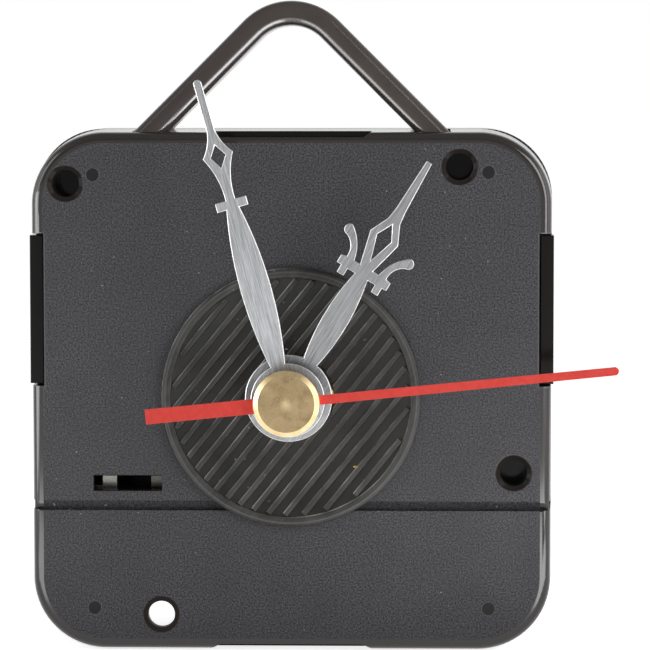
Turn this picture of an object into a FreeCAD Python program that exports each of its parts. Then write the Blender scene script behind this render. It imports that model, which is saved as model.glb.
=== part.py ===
import FreeCAD, Part
import math
import os
from FreeCAD import Vector

# Quartz clock movement with hands, in millimetres.
# X is to the right and Z is up as seen from the dial side, and depth runs along +Y, away from the dial.
# The origin is where the shaft axis crosses the front face of the case.
# Every gear turns about an axis along Y. Angles are in degrees, anticlockwise as seen from the dial side.

# Case
case_width = 56.0
case_height = 56.0
case_depth = 16.0
split_depth = 7.1
side_wall = 1.4
front_wall = 1.4
rear_wall = 1.4
corner_radius = 7.8
rim_round = 1.1
back_chamfer = 0.7
rear_step = 0.28
rear_corner_cut = 0.3
cut_over = 1.0

# Notches in the rim, recesses for the latches, groove over the battery bay
notch_half_width = 8.65
notch_end = 0.9
notch_height = 0.55
notch_depth = 3.0
recess_low = 0.65
recess_high = 17.1
recess_depth = 1.3
recess_wall = 1.05
groove_height = 1.0
groove_depth = 0.5
groove_side = 0.16

# Latch arms
latch_thickness = 0.8
latch_tip = 0.3
latch_setback = 1.0
latch_taper = 1.0
latch_gap = 0.2
nub_start = 2.4
nub_end = 4.6
nub_reach = 0.5
nub_margin = 3.3
nub_clearance = 0.1

# Round holes of the front, measured from the nearest sides of the case
left_hole_inset = 3.7
left_hole_drop = 5.5
right_hole_inset = 9.9
right_hole_drop = 3.7
low_hole_inset = 4.0
low_hole_drop = 8.7
screw_hole_radius = 1.45
screw_hole_depth = 4.6
countersink_radius = 1.9
countersink_depth = 0.3
post_half = 2.0
bay_hole_radius = 1.45
bay_hole_inset = 13.9
bay_hole_rise = 3.8

# Test slot over the battery contacts
slot_inset = 6.6
slot_width = 7.4
slot_rise = 0.1
slot_height = 1.6

# Battery bay for one AA cell, open at the back, with a finger gap below
cell_diameter = 14.5
cell_half_length = 25.15
cell_clearance = 0.1
cell_front_gap = 0.15
cell_floor_gap = 0.2
partition_thickness = 1.0
finger_gap_half_width = 19.0
finger_gap_depth = 5.0

# Hanger
hanger_height = 14.1
hanger_half_base = 17.0
hanger_bar_width = 2.65
hanger_front = 1.2
hanger_top_radius = 7.2
hanger_inner_round = 1.1
hanger_slot_gap = 0.05
hanger_foot_length = 4.4
hanger_foot_height = 1.2

# Threaded bush, with the washer that hangs on it
bush_radius = 3.95
bush_length = 6.0
bush_shank_radius = 4.12
bush_seat_radius = 4.6
bush_seat_sides = 6
bush_flange_radius = 5.2
bush_flange_thickness = 0.5
washer_radius = 13.95
washer_hole_radius = 4.68
washer_gap = 0.03
washer_web = 0.6
washer_thickness = 1.0
washer_rim = 1.0
rib_pitch = 1.5
rib_width = 0.5
rib_height = 0.3
rib_end_gap = 0.1
rib_angle = 51.0

# Hands, each with the gap behind it
hand_thickness = 0.4
hour_hand_gap = 0.8
minute_hand_gap = 2.0
second_hand_gap = 2.8
second_hand_thickness = 0.3
cap_height = 1.3
hour_hand_angle = -30.8
minute_hand_angle = 15.8
second_hand_angle = -84.3

# Hour hand outline, along the hand and out to the side
hour_hub_radius = 4.6
hour_length = 29.0
hour_tip_half_width = 0.31
hour_blade_root = 4.5
hour_blade_root_half = 0.82
hour_blade_middle = 9.9
hour_blade_half = 1.35
hour_neck = 15.0
hour_neck_half = 0.78
hour_bridge_width = 1.1
hour_diamond_corner = 19.75
hour_diamond_half = 1.69
hour_diamond_shoulder = 21.8
hour_shoulder_half = 0.72
hour_spear_start = 23.2
hour_spear_half = 0.54
hour_window_low = 17.0
hour_window_middle = 19.75
hour_window_half = 0.86
hour_window_high = 21.4
scroll_inner_foot_half = 1.5
scroll_outer_foot_half = 2.42
scroll_middle = 17.4
scroll_middle_inner_half = 1.92
scroll_middle_outer_half = 2.74
scroll_end = 18.7
scroll_end_half = 3.58
scroll_end_radius = 0.6
trefoil_foot_low = 14.15
trefoil_foot_inner_half = 1.68
trefoil_foot_outer_half = 2.5
trefoil_side_low = 15.05
trefoil_side_half = 3.02
trefoil_side_high = 15.95

# Minute hand outline, along the hand and out to the side
minute_hub_radius = 3.9
minute_length = 34.9
minute_spear_half = 0.42
minute_blade_root = 3.8
minute_blade_root_half = 0.8
minute_blade_middle = 11.9
minute_blade_half = 1.6
minute_bar_low = 20.95
minute_bar_high = 21.9
minute_bar_half = 1.68
minute_neck_low_half = 0.7
minute_neck_high_half = 0.52
minute_waist = 24.6
minute_waist_half = 0.8
minute_diamond_corner = 26.72
minute_diamond_half = 1.63
minute_shoulder = 28.0
minute_shoulder_half = 0.82
minute_spear_start = 29.4
minute_window_low = 25.33
minute_window_middle = 26.6
minute_window_half = 0.81
minute_window_high = 27.85

# Second hand outline and its brass cap
second_length = 34.7
second_tail_length = 14.8
second_root_half = 0.49
second_tip_half = 0.43
second_tail_half = 0.78
second_disc_radius = 1.9
cap_radius = 3.45
cap_chamfer = 0.5
cap_tube_radius = 1.0
cap_tube_length = 1.6

# Shafts, pipes and their fits
running_gap = 0.05
seat_gap = 0.02
hour_pipe_radius = 2.5
hour_pipe_bore = 1.55
hour_pipe_lip = 0.3
minute_pipe_radius = 1.5
minute_pipe_flat_half = 1.1
minute_pipe_flat_length = 1.4
minute_pipe_lip = 0.3
seconds_arbor_radius = 0.5
pivot_radius = 0.4
boss_wall = 0.9
collar_wall = 0.7

# Wheels along the depth, before and behind the middle plate
hour_wheel_gap = 0.2
hour_wheel_thickness = 1.1
motion_wheel_gap = 0.4
motion_wheel_thickness = 0.9
cannon_extra = 0.2
plate_gap = 0.7
plate_thickness = 1.0
drive_wheel_thickness = 0.8
third_wheel_thickness = 0.8
seconds_wheel_thickness = 0.8
intermediate_wheel_thickness = 0.7
gaps_before_boss = 6
pinion_extra = 0.2
pivot_gap = 0.2
pivot_depth = 0.8
boss_height = 0.8

# Gear trains, from the rotor to the minute wheel and from the cannon pinion to the hour wheel
rotor_teeth = 6
intermediate_teeth = 30
intermediate_pinion_teeth = 6
seconds_teeth = 36
seconds_pinion_teeth = 6
third_teeth = 45
third_pinion_teeth = 6
drive_teeth = 48
cannon_teeth = 8
motion_teeth = 24
motion_pinion_teeth = 6
hour_teeth = 24
setting_teeth = 8
rotor_module = 0.32
seconds_module = 0.394
third_module = 0.32
motion_module = 0.543
third_direction = 180.0
intermediate_direction = 118.0
rotor_direction = 60.0
motion_direction = 10.0
setting_direction = 10.0
wheel_dedendum_share = 1.5
wheel_addendum_share = 0.9
wheel_tip_share = 0.08
pinion_dedendum_share = 1.1
pinion_addendum_share = 0.7
pinion_root_share = 0.2
pinion_tip_share = 0.1

# Motor
magnet_radius = 2.2
magnet_thickness = 1.6
stator_thickness = 0.8
stator_air_gap = 0.35
stator_bar_half = 3.4
stator_half_width = 9.0
stator_arm_width = 3.0
stator_top = 24.0
core_width = 3.0
core_thickness = 0.8
coil_height = 21.5
bobbin_wall = 0.5
bobbin_flange_half = 3.5
bobbin_flange_thickness = 0.6
winding_half = 3.0
winding_corner = 1.0
bobbin_end_gap = 0.3

# Circuit board
board_left = -25.4
board_right = -10.5
board_low = -6.5
board_high = 16.0
board_post_height = 2.0
board_thickness = 1.0
board_post_half = 0.9
board_post_inset = 1.6
chip_half = 2.6
chip_height = 0.9
chip_x = -20.5
chip_z = 4.0
crystal_radius = 1.0
crystal_length = 6.0
crystal_x = -22.5
crystal_low = 8.5

# Battery contacts
strip_thickness = 0.3
strip_gap = 0.05
contact_plate_drop = 2.2
contact_plate_height = 6.8
contact_plate_lead = 5.7
contact_plate_width = 9.9
strip_width = 3.0
negative_tail_inset = 0.7
negative_tail_width = 1.55
positive_tail_inset = 0.06
positive_tail_width = 1.34
tail_overlap = 2.0
positive_strip_setback = 1.2
spring_reach = 1.9
spring_width = 5.0
spring_root = 0.6
spring_end_drop = 2.2
spring_end_reach = 0.9
spring_crest_half = 0.8
button_radius = 1.4
button_height = 0.8

# Middle plate and the posts that hold it
plate_left = -13.2
plate_edge = 3.4
plate_corner = 2.5
plate_post_half = 1.1
plate_post_edge = 1.4
lower_post_x = 11.5
lower_post_z = -8.8
upper_post_z = 14.5

# Setting knob
knob_radius = 6.0
knob_height = 3.3
knob_gap = 0.3
knob_grip_count = 24
knob_grip_depth = 0.5
knob_clearance = 0.6
knob_pocket_wall = 1.1
knob_pocket_depth = 3.5
knob_pocket_floor = 1.1
knob_stem_radius = 1.3
knob_dish_share = 0.6
knob_dish_depth = 0.9

# Places that follow from the sizes above
half_width = case_width / 2
half_height = case_height / 2
inner_half = half_width - side_wall
inner_half_height = half_height - side_wall
rear_half = half_width + rear_step
rear_half_height = half_height + rear_step
rear_inside = case_depth - rear_wall
boss_front = rear_inside - boss_height
screw_hole_places = ((left_hole_inset - half_width, half_height - left_hole_drop),
                     (half_width - right_hole_inset, half_height - right_hole_drop),
                     (half_width - low_hole_inset, -low_hole_drop))
bay_hole_place = (bay_hole_inset - half_width, bay_hole_rise - half_height)

cell_radius = cell_diameter / 2
cell_z = cell_floor_gap + cell_radius - inner_half_height
cell_depth = front_wall + cell_front_gap + cell_radius
bay_high = cell_z + cell_radius + cell_clearance
partition_top = bay_high + partition_thickness
slot_left = slot_inset - half_width
slot_right = slot_left + slot_width
slot_low = partition_top + slot_rise
contact_plate_high = bay_high - contact_plate_drop
contact_plate_low = contact_plate_high - contact_plate_height
contact_plate_front = cell_depth - contact_plate_lead
negative_tail_left = slot_left + negative_tail_inset
negative_tail_right = negative_tail_left + negative_tail_width
positive_tail_right = slot_right - positive_tail_inset
positive_tail_left = positive_tail_right - positive_tail_width
positive_strip_front = split_depth + positive_strip_setback

hour_hand_front = bush_length + hour_hand_gap + hand_thickness
minute_hand_front = hour_hand_front + minute_hand_gap + hand_thickness
second_hand_front = minute_hand_front + second_hand_gap + second_hand_thickness
cap_front = second_hand_front + cap_height

bush_flange_back = front_wall + bush_flange_thickness
hour_wheel_front = bush_flange_back + hour_wheel_gap
motion_wheel_front = hour_wheel_front + hour_wheel_thickness + motion_wheel_gap
plate_front = motion_wheel_front + motion_wheel_thickness + cannon_extra + plate_gap
plate_back = plate_front + plate_thickness
wheels_together = (drive_wheel_thickness + third_wheel_thickness + seconds_wheel_thickness
                   + intermediate_wheel_thickness)
wheel_gap = (boss_front - plate_back - wheels_together) / gaps_before_boss
drive_wheel_front = plate_back + wheel_gap
third_wheel_front = drive_wheel_front + drive_wheel_thickness + wheel_gap
seconds_wheel_front = third_wheel_front + third_wheel_thickness + wheel_gap
intermediate_wheel_front = seconds_wheel_front + seconds_wheel_thickness + wheel_gap
stator_front = third_wheel_front
stator_back = stator_front + stator_thickness
board_front = front_wall + board_post_height
board_back = board_front + board_thickness

knob_pocket_front = case_depth - knob_pocket_depth
knob_pocket_back = knob_pocket_front + knob_pocket_floor
knob_front = knob_pocket_back + knob_gap
knob_back = knob_front + knob_height
dish_front = knob_back - knob_dish_depth


def point(x, depth, z):
    return Vector(x, depth, z)


def polar(centre, radius, angle):
    turn = math.radians(angle)
    return (centre[0] + radius * math.cos(turn), centre[1] + radius * math.sin(turn))


def arc(first, middle, last):
    return Part.Arc(first, middle, last).toShape()


def line(first, last):
    return Part.LineSegment(first, last).toShape()


def block(x_low, x_high, front, back, z_low, z_high):
    return Part.makeBox(x_high - x_low, back - front, z_high - z_low, point(x_low, front, z_low))


def rod(centre, radius, front, back):
    return Part.makeCylinder(radius, back - front, point(centre[0], front, centre[1]), Vector(0, 1, 0))


def post(centre, half, front, back):
    """Square post."""
    return block(centre[0] - half, centre[0] + half, front, back, centre[1] - half, centre[1] + half)


def tube(centre, radius, bore, front, back):
    return rod(centre, radius, front, back).cut(rod(centre, bore, front, back))


def cone(centre, front_radius, back_radius, front, back):
    place = point(centre[0], front, centre[1])
    return Part.makeCone(front_radius, back_radius, back - front, place, Vector(0, 1, 0))


def rounded_wire(half_x, half_z, radius, depth):
    """Rounded rectangle centred on the shaft axis, at one depth."""
    edges = []
    corner_share = math.sqrt(0.5)
    corners = ((1, 1), (-1, 1), (-1, -1), (1, -1))
    ends = []
    for side_x, side_z in corners:
        centre_x = side_x * (half_x - radius)
        centre_z = side_z * (half_z - radius)
        on_side = point(centre_x + side_x * radius, depth, centre_z)
        on_top = point(centre_x, depth, centre_z + side_z * radius)
        middle = point(centre_x + side_x * radius * corner_share, depth,
                       centre_z + side_z * radius * corner_share)
        start, end = (on_side, on_top) if side_x == side_z else (on_top, on_side)
        ends.append((start, middle, end))
    for index, (start, middle, end) in enumerate(ends):
        edges.append(arc(start, middle, end))
        edges.append(line(end, ends[(index + 1) % len(ends)][0]))
    return Part.Wire(edges)


def prism(places, depth, thickness):
    """Straight-sided outline of x and z places, pushed back along the depth."""
    corners = [point(x, depth, z) for x, z in places]
    return Part.Face(Part.makePolygon(corners + corners[:1])).extrude(Vector(0, thickness, 0))


def upright_prism(places, low, height):
    """Straight-sided outline of x and depth places, raised along Z."""
    corners = [point(x, depth, low) for x, depth in places]
    return Part.Face(Part.makePolygon(corners + corners[:1])).extrude(Vector(0, 0, height))


def mirrored_x(shape):
    return shape.mirror(Vector(0, 0, 0), Vector(1, 0, 0))


def fused(shapes):
    first = shapes[0]
    return first.multiFuse(shapes[1:]).removeSplitter() if len(shapes) > 1 else first


def turned(shape, angle):
    """Turned about the shaft axis, anticlockwise as seen from the dial side."""
    copy = shape.copy()
    copy.rotate(Vector(0, 0, 0), Vector(0, -1, 0), angle)
    return copy


def softened(shape, radius, chosen):
    """Round the chosen edges of the front face in three flats, which stay light at the corners."""
    first = radius * (2 - math.sqrt(2))
    second = radius * (math.tan(math.pi / 8) - math.tan(math.pi / 16))
    for size in (first, second):
        edges = [edge for edge in shape.Edges if edge.BoundBox.YLength < second / 2 and chosen(edge)]
        shape = shape.makeChamfer(size, edges)
    return shape


# Gears

def wheel_solid(centre, teeth, module, phase, front, thickness):
    """Toothed disc with pointed gaps; phase is the angle of one tooth."""
    pitch = 360.0 / teeth
    root = (teeth / 2 - wheel_dedendum_share) * module
    tip = (teeth / 2 + wheel_addendum_share) * module
    places = []
    for tooth in range(teeth):
        middle = phase + tooth * pitch
        places.append(polar(centre, tip, middle - wheel_tip_share * pitch))
        places.append(polar(centre, tip, middle + wheel_tip_share * pitch))
        places.append(polar(centre, root, middle + pitch / 2))
    return prism(places, front, thickness)


def pinion_solid(centre, teeth, module, phase, front, thickness):
    """Pinion with slim leaves; phase is the angle of one leaf."""
    pitch = 360.0 / teeth
    root = (teeth / 2 - pinion_dedendum_share) * module
    tip = (teeth / 2 + pinion_addendum_share) * module
    places = []
    for tooth in range(teeth):
        middle = phase + tooth * pitch
        places.append(polar(centre, root, middle - pinion_root_share * pitch))
        places.append(polar(centre, tip, middle - pinion_tip_share * pitch))
        places.append(polar(centre, tip, middle + pinion_tip_share * pitch))
        places.append(polar(centre, root, middle + pinion_root_share * pitch))
    return prism(places, front, thickness)


def meshed_phase(teeth, phase, direction, other_teeth):
    """Phase of a second gear, seen in this direction from the first, that meshes with it."""
    step = (phase - direction) * teeth / other_teeth
    return direction + 180.0 + 180.0 / other_teeth - step


def pitch_distance(teeth, other_teeth, module):
    return (teeth + other_teeth) * module / 2


shaft = (0, 0)
third_distance = pitch_distance(seconds_pinion_teeth, third_teeth, third_module)
third_axis = polar(shaft, third_distance, third_direction)
third_pinion_module = 2 * third_distance / (third_pinion_teeth + drive_teeth)
intermediate_distance = pitch_distance(intermediate_pinion_teeth, seconds_teeth, seconds_module)
intermediate_axis = polar(shaft, intermediate_distance, intermediate_direction)
rotor_distance = pitch_distance(rotor_teeth, intermediate_teeth, rotor_module)
rotor_axis = polar(intermediate_axis, rotor_distance, rotor_direction)
motion_distance = pitch_distance(cannon_teeth, motion_teeth, motion_module)
motion_axis = polar(shaft, motion_distance, motion_direction)
motion_pinion_module = 2 * motion_distance / (motion_pinion_teeth + hour_teeth)
setting_distance = pitch_distance(setting_teeth, motion_teeth, motion_module)
setting_axis = polar(motion_axis, setting_distance, setting_direction)

third_phase = meshed_phase(seconds_pinion_teeth, 0.0, third_direction, third_teeth)
drive_phase = meshed_phase(third_pinion_teeth, 0.0, third_direction + 180.0, drive_teeth)
seconds_phase = meshed_phase(intermediate_pinion_teeth, 0.0, intermediate_direction + 180.0, seconds_teeth)
intermediate_phase = meshed_phase(rotor_teeth, 0.0, rotor_direction + 180.0, intermediate_teeth)
hour_phase = meshed_phase(motion_pinion_teeth, 0.0, motion_direction + 180.0, hour_teeth)
motion_phase = meshed_phase(cannon_teeth, 0.0, motion_direction, motion_teeth)
setting_phase = meshed_phase(motion_teeth, motion_phase, setting_direction, setting_teeth)

stator_centre_x = rotor_axis[0]
upper_post_places = ((stator_centre_x - stator_half_width + stator_arm_width / 2, upper_post_z),
                     (stator_centre_x + stator_half_width - stator_arm_width / 2, upper_post_z))
lower_post_places = ((-lower_post_x, lower_post_z), (lower_post_x, lower_post_z))
board_post_places = ((board_left + board_post_inset, board_low + board_post_inset),
                     (board_right - board_post_inset, board_low + board_post_inset),
                     (board_left + board_post_inset, board_high - board_post_inset),
                     (board_right - board_post_inset, board_high - board_post_inset))


def pinned_arbor(centre):
    """Arbor from the middle plate to the rear case, with a little end play."""
    return rod(centre, pivot_radius, plate_back - pivot_depth, boss_front + pivot_depth)


def rotor_pinion():
    front = intermediate_wheel_front - pinion_extra
    thickness = intermediate_wheel_thickness + 2 * pinion_extra
    leaves = pinion_solid(rotor_axis, rotor_teeth, rotor_module, 0.0, front, thickness)
    return fused([leaves, pinned_arbor(rotor_axis)])


def rotor_magnet():
    front = stator_front - (magnet_thickness - stator_thickness) / 2
    return tube(rotor_axis, magnet_radius, pivot_radius + seat_gap, front, front + magnet_thickness)


def wheel_with_pinion(centre, wheel, pinion):
    """Wheel, pinion and arbor moulded as one; each gear is given as its solid."""
    return fused([wheel, pinion, pinned_arbor(centre)])


def intermediate_wheel():
    wheel = wheel_solid(intermediate_axis, intermediate_teeth, rotor_module, intermediate_phase,
                       intermediate_wheel_front, intermediate_wheel_thickness)
    front = seconds_wheel_front - pinion_extra
    pinion = pinion_solid(intermediate_axis, intermediate_pinion_teeth, seconds_module, 0.0, front,
                        intermediate_wheel_front - front)
    return wheel_with_pinion(intermediate_axis, wheel, pinion)


def third_wheel():
    wheel = wheel_solid(third_axis, third_teeth, third_module, third_phase,
                       third_wheel_front, third_wheel_thickness)
    front = drive_wheel_front - pinion_extra
    pinion = pinion_solid(third_axis, third_pinion_teeth, third_pinion_module, 0.0, front,
                        third_wheel_front - front)
    return wheel_with_pinion(third_axis, wheel, pinion)


def seconds_wheel():
    wheel = wheel_solid(shaft, seconds_teeth, seconds_module, seconds_phase,
                       seconds_wheel_front, seconds_wheel_thickness)
    front = third_wheel_front - pinion_extra
    pinion = pinion_solid(shaft, seconds_pinion_teeth, third_module, 0.0, front,
                        seconds_wheel_front - front)
    bore = rod(shaft, seconds_arbor_radius + seat_gap, front, seconds_wheel_front + seconds_wheel_thickness)
    return fused([wheel, pinion]).cut(bore)


def seconds_arbor():
    front = -(second_hand_front - second_hand_thickness)
    return rod(shaft, seconds_arbor_radius, front, boss_front + pivot_depth)


pipe_back = third_wheel_front - pinion_extra - pivot_gap


def minute_drive_wheel():
    """Wheel that grips the minute pipe lightly, so that the hands can be set."""
    wheel = wheel_solid(shaft, drive_teeth, third_pinion_module, drive_phase,
                       drive_wheel_front, drive_wheel_thickness)
    hub = rod(shaft, minute_pipe_radius + running_gap + collar_wall, plate_back + pivot_gap,
              drive_wheel_front + drive_wheel_thickness)
    bore = rod(shaft, minute_pipe_radius + running_gap, plate_front, case_depth)
    return fused([wheel, hub]).cut(bore)


def minute_pipe():
    """Cannon pipe with its pinion; two flats at the front carry the minute hand."""
    front = -(minute_hand_front + minute_pipe_lip)
    outer = rod(shaft, minute_pipe_radius, front, pipe_back)
    leaves = pinion_solid(shaft, cannon_teeth, motion_module, 0.0, motion_wheel_front - cannon_extra,
                          motion_wheel_thickness + 2 * cannon_extra)
    pipe = fused([outer, leaves])
    flat_back = front + minute_pipe_flat_length
    for side in (-1, 1):
        inner = side * minute_pipe_flat_half
        outside = side * (minute_pipe_radius + cut_over)
        flat = block(min(inner, outside), max(inner, outside), front - cut_over, flat_back,
                     -minute_pipe_radius - cut_over, minute_pipe_radius + cut_over)
        pipe = pipe.cut(turned(flat, minute_hand_angle))
    return pipe.cut(rod(shaft, seconds_arbor_radius + running_gap, front, pipe_back))


def motion_wheel():
    """Wheel and pinion of the motion work, on a post of the front case."""
    wheel = wheel_solid(motion_axis, motion_teeth, motion_module, motion_phase,
                       motion_wheel_front, motion_wheel_thickness)
    pinion = pinion_solid(motion_axis, motion_pinion_teeth, motion_pinion_module, 0.0,
                        hour_wheel_front - pinion_extra,
                        motion_wheel_front - hour_wheel_front + pinion_extra)
    bore = rod(motion_axis, pivot_radius + running_gap, front_wall, plate_front)
    return fused([wheel, pinion]).cut(bore)


def hour_wheel():
    """Hour wheel with the pipe that carries the hour hand."""
    wheel = wheel_solid(shaft, hour_teeth, motion_pinion_module, hour_phase,
                       hour_wheel_front, hour_wheel_thickness)
    front = -(hour_hand_front + hour_pipe_lip)
    pipe = rod(shaft, hour_pipe_radius, front, hour_wheel_front + hour_wheel_thickness)
    bore = rod(shaft, hour_pipe_bore, front, plate_front)
    return fused([wheel, pipe]).cut(bore)


def setting_stem():
    """Stem of the setting knob, with the pinion that turns the motion wheel."""
    leaves = pinion_solid(setting_axis, setting_teeth, motion_module, setting_phase,
                        motion_wheel_front - cannon_extra,
                        motion_wheel_thickness + 2 * cannon_extra)
    pivot = rod(setting_axis, pivot_radius, front_wall + pivot_gap, motion_wheel_front)
    journal = rod(setting_axis, knob_stem_radius, motion_wheel_front, dish_front)
    return fused([leaves, pivot, journal])


def setting_knob():
    """Grooved knob, pressed on the stem behind the rear case."""
    step = 360.0 / knob_grip_count
    places = []
    for index in range(knob_grip_count):
        places.append(polar(setting_axis, knob_radius, index * step))
        places.append(polar(setting_axis, knob_radius - knob_grip_depth, (index + 0.5) * step))
    knob = prism(places, knob_front, knob_height)
    dish = tube(setting_axis, knob_radius * knob_dish_share, knob_stem_radius + collar_wall,
                dish_front, knob_back)
    bore = rod(setting_axis, knob_stem_radius + seat_gap, knob_front, dish_front)
    return knob.cut(dish).cut(bore)


# Hands. Each outline is drawn pointing up and then turned to the time shown.

def half_outline_face(edges_of_half, front, thickness):
    """Face from the right half of an outline and its mirror image."""
    other_half = [mirrored_x(edge) for edge in reversed(edges_of_half)]
    wire = Part.Wire(Part.__sortEdges__(edges_of_half + other_half))
    return Part.Face(wire).extrude(Vector(0, thickness, 0))


def side_point(front, along, out):
    return point(out, front, along)


def diamond_window(front, thickness, low, middle, half, high):
    places = ((0, low), (half, middle), (0, high), (-half, middle))
    return prism(places, front, thickness)


def hub_disc(radius, front, thickness):
    return rod(shaft, radius, front, front + thickness)


def hour_hand_outline(front):
    """Right half: blade, bridge, trefoil, scroll arm, diamond and spear."""
    def at(along, out):
        return side_point(front, along, out)

    blade = arc(at(hour_blade_root, hour_blade_root_half), at(hour_blade_middle, hour_blade_half),
                at(hour_neck, hour_neck_half))
    trefoil_places = (at(hour_neck, hour_neck_half),
                      at(hour_neck, trefoil_foot_inner_half),
                      at(trefoil_foot_low, trefoil_foot_inner_half),
                      at(trefoil_foot_low, trefoil_foot_outer_half),
                      at(trefoil_side_low, trefoil_foot_outer_half),
                      at(trefoil_side_low, trefoil_side_half),
                      at(trefoil_side_high, trefoil_side_half),
                      at(hour_neck + hour_bridge_width, scroll_outer_foot_half))
    bulb_out = at(scroll_end - scroll_end_radius, scroll_end_half)
    bulb_top = at(scroll_end, scroll_end_half + scroll_end_radius)
    bulb_in = at(scroll_end + scroll_end_radius, scroll_end_half)
    scroll = [
        arc(trefoil_places[-1], at(scroll_middle, scroll_middle_outer_half), bulb_out),
        arc(bulb_out, bulb_top, bulb_in),
        arc(bulb_in, at(scroll_middle, scroll_middle_inner_half),
            at(hour_neck + hour_bridge_width, scroll_inner_foot_half)),
    ]
    spear_places = (at(hour_neck + hour_bridge_width, scroll_inner_foot_half),
                    at(hour_neck + hour_bridge_width, hour_neck_half),
                    at(hour_diamond_corner, hour_diamond_half),
                    at(hour_diamond_shoulder, hour_shoulder_half),
                    at(hour_spear_start, hour_spear_half),
                    at(hour_length, hour_tip_half_width),
                    at(hour_length, 0))
    edges = [line(at(hour_blade_root, 0), at(hour_blade_root, hour_blade_root_half)), blade]
    edges += [line(first, last) for first, last in zip(trefoil_places, trefoil_places[1:])]
    edges += scroll
    edges += [line(first, last) for first, last in zip(spear_places, spear_places[1:])]
    return edges


def hour_hand():
    front = -hour_hand_front
    pointer = half_outline_face(hour_hand_outline(front), front, hand_thickness)
    stem = block(-hour_blade_root_half, hour_blade_root_half, front, front + hand_thickness,
                 0, hour_blade_root)
    hand = fused([pointer, stem, hub_disc(hour_hub_radius, front, hand_thickness)])
    window = diamond_window(front, hand_thickness, hour_window_low, hour_window_middle,
                            hour_window_half, hour_window_high)
    bore = rod(shaft, hour_pipe_radius + seat_gap, front, 0)
    return turned(hand.cut(window).cut(bore), hour_hand_angle)


def minute_hand_outline(front):
    """Right half: blade, cross bar, diamond and round-ended spear."""
    def at(along, out):
        return side_point(front, along, out)

    tip_share = math.sqrt(0.5)
    tip_centre = minute_length - minute_spear_half
    edges = [
        line(at(minute_blade_root, 0), at(minute_blade_root, minute_blade_root_half)),
        arc(at(minute_blade_root, minute_blade_root_half), at(minute_blade_middle, minute_blade_half),
            at(minute_bar_low, minute_neck_low_half)),
    ]
    bar_places = (at(minute_bar_low, minute_neck_low_half), at(minute_bar_low, minute_bar_half),
                  at(minute_bar_high, minute_bar_half), at(minute_bar_high, minute_neck_high_half))
    edges += [line(first, last) for first, last in zip(bar_places, bar_places[1:])]
    edges += [
        arc(bar_places[-1], at(minute_waist, minute_waist_half),
            at(minute_diamond_corner, minute_diamond_half)),
        arc(at(minute_diamond_corner, minute_diamond_half), at(minute_shoulder, minute_shoulder_half),
            at(minute_spear_start, minute_spear_half)),
        line(at(minute_spear_start, minute_spear_half), at(tip_centre, minute_spear_half)),
        arc(at(tip_centre, minute_spear_half),
            at(tip_centre + minute_spear_half * tip_share, minute_spear_half * tip_share),
            at(minute_length, 0)),
    ]
    return edges


def minute_hand():
    front = -minute_hand_front
    pointer = half_outline_face(minute_hand_outline(front), front, hand_thickness)
    stem = block(-minute_blade_root_half, minute_blade_root_half, front, front + hand_thickness,
                 0, minute_blade_root)
    hand = fused([pointer, stem, hub_disc(minute_hub_radius, front, hand_thickness)])
    window = diamond_window(front, hand_thickness, minute_window_low, minute_window_middle,
                            minute_window_half, minute_window_high)
    hole = rod(shaft, minute_pipe_radius + seat_gap, front, front + hand_thickness)
    hole = hole.common(block(-minute_pipe_flat_half - seat_gap, minute_pipe_flat_half + seat_gap,
                             front, front + hand_thickness, -minute_pipe_radius - cut_over,
                             minute_pipe_radius + cut_over))
    return turned(hand.cut(window).cut(hole), minute_hand_angle)


def second_hand():
    """Straight strip, with a broad square tail and a rounded tip."""
    front = -second_hand_front
    tip_centre = second_length - second_tip_half
    tail = (-second_tail_length, second_tail_half)
    edges = [
        line(side_point(front, tail[0], 0), side_point(front, tail[0], tail[1])),
        line(side_point(front, tail[0], tail[1]), side_point(front, 0, tail[1])),
        line(side_point(front, 0, tail[1]), side_point(front, 0, second_root_half)),
        line(side_point(front, 0, second_root_half), side_point(front, tip_centre, second_tip_half)),
        arc(side_point(front, tip_centre, second_tip_half),
            side_point(front, tip_centre + second_tip_half * math.sqrt(0.5),
                       second_tip_half * math.sqrt(0.5)),
            side_point(front, second_length, 0)),
    ]
    strip = half_outline_face(edges, front, second_hand_thickness)
    strip = fused([strip, hub_disc(second_disc_radius, front, second_hand_thickness)])
    bore = rod(shaft, cap_tube_radius + seat_gap, front, front + second_hand_thickness)
    return turned(strip.cut(bore), second_hand_angle)


def second_hand_cap():
    """Brass cap before the strip and the tube behind it, pressed on the arbor."""
    back = -second_hand_front
    chamfered = cone(shaft, cap_radius - cap_chamfer, cap_radius, -cap_front, -cap_front + cap_chamfer)
    body = rod(shaft, cap_radius, -cap_front + cap_chamfer, back)
    stem = rod(shaft, cap_tube_radius, back, back + second_hand_thickness + cap_tube_length)
    cap = fused([chamfered, body, stem])
    hole = rod(shaft, seconds_arbor_radius + seat_gap, back + second_hand_thickness - seat_gap,
               back + second_hand_thickness + cap_tube_length)
    return cap.cut(hole)


# Bush and washer

def bush_sides(radius, front, back):
    step = 360.0 / bush_seat_sides
    places = [polar(shaft, radius, index * step) for index in range(bush_seat_sides)]
    return prism(places, front, back - front)


def bush_seat(radius):
    """Hexagon that keeps the bush from turning in the front wall."""
    return bush_sides(radius, 0, front_wall)


def threaded_bush():
    """Thread, plain shank in the washer, hexagonal seat in the wall, and flange behind it."""
    thread = rod(shaft, bush_radius, -bush_length, -washer_thickness)
    shank = rod(shaft, bush_shank_radius, -washer_thickness, 0)
    flange = bush_sides(bush_flange_radius, front_wall, bush_flange_back)
    bore = rod(shaft, hour_pipe_radius + running_gap, -bush_length, bush_flange_back)
    return fused([thread, shank, bush_seat(bush_seat_radius), flange]).cut(bore)


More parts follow.
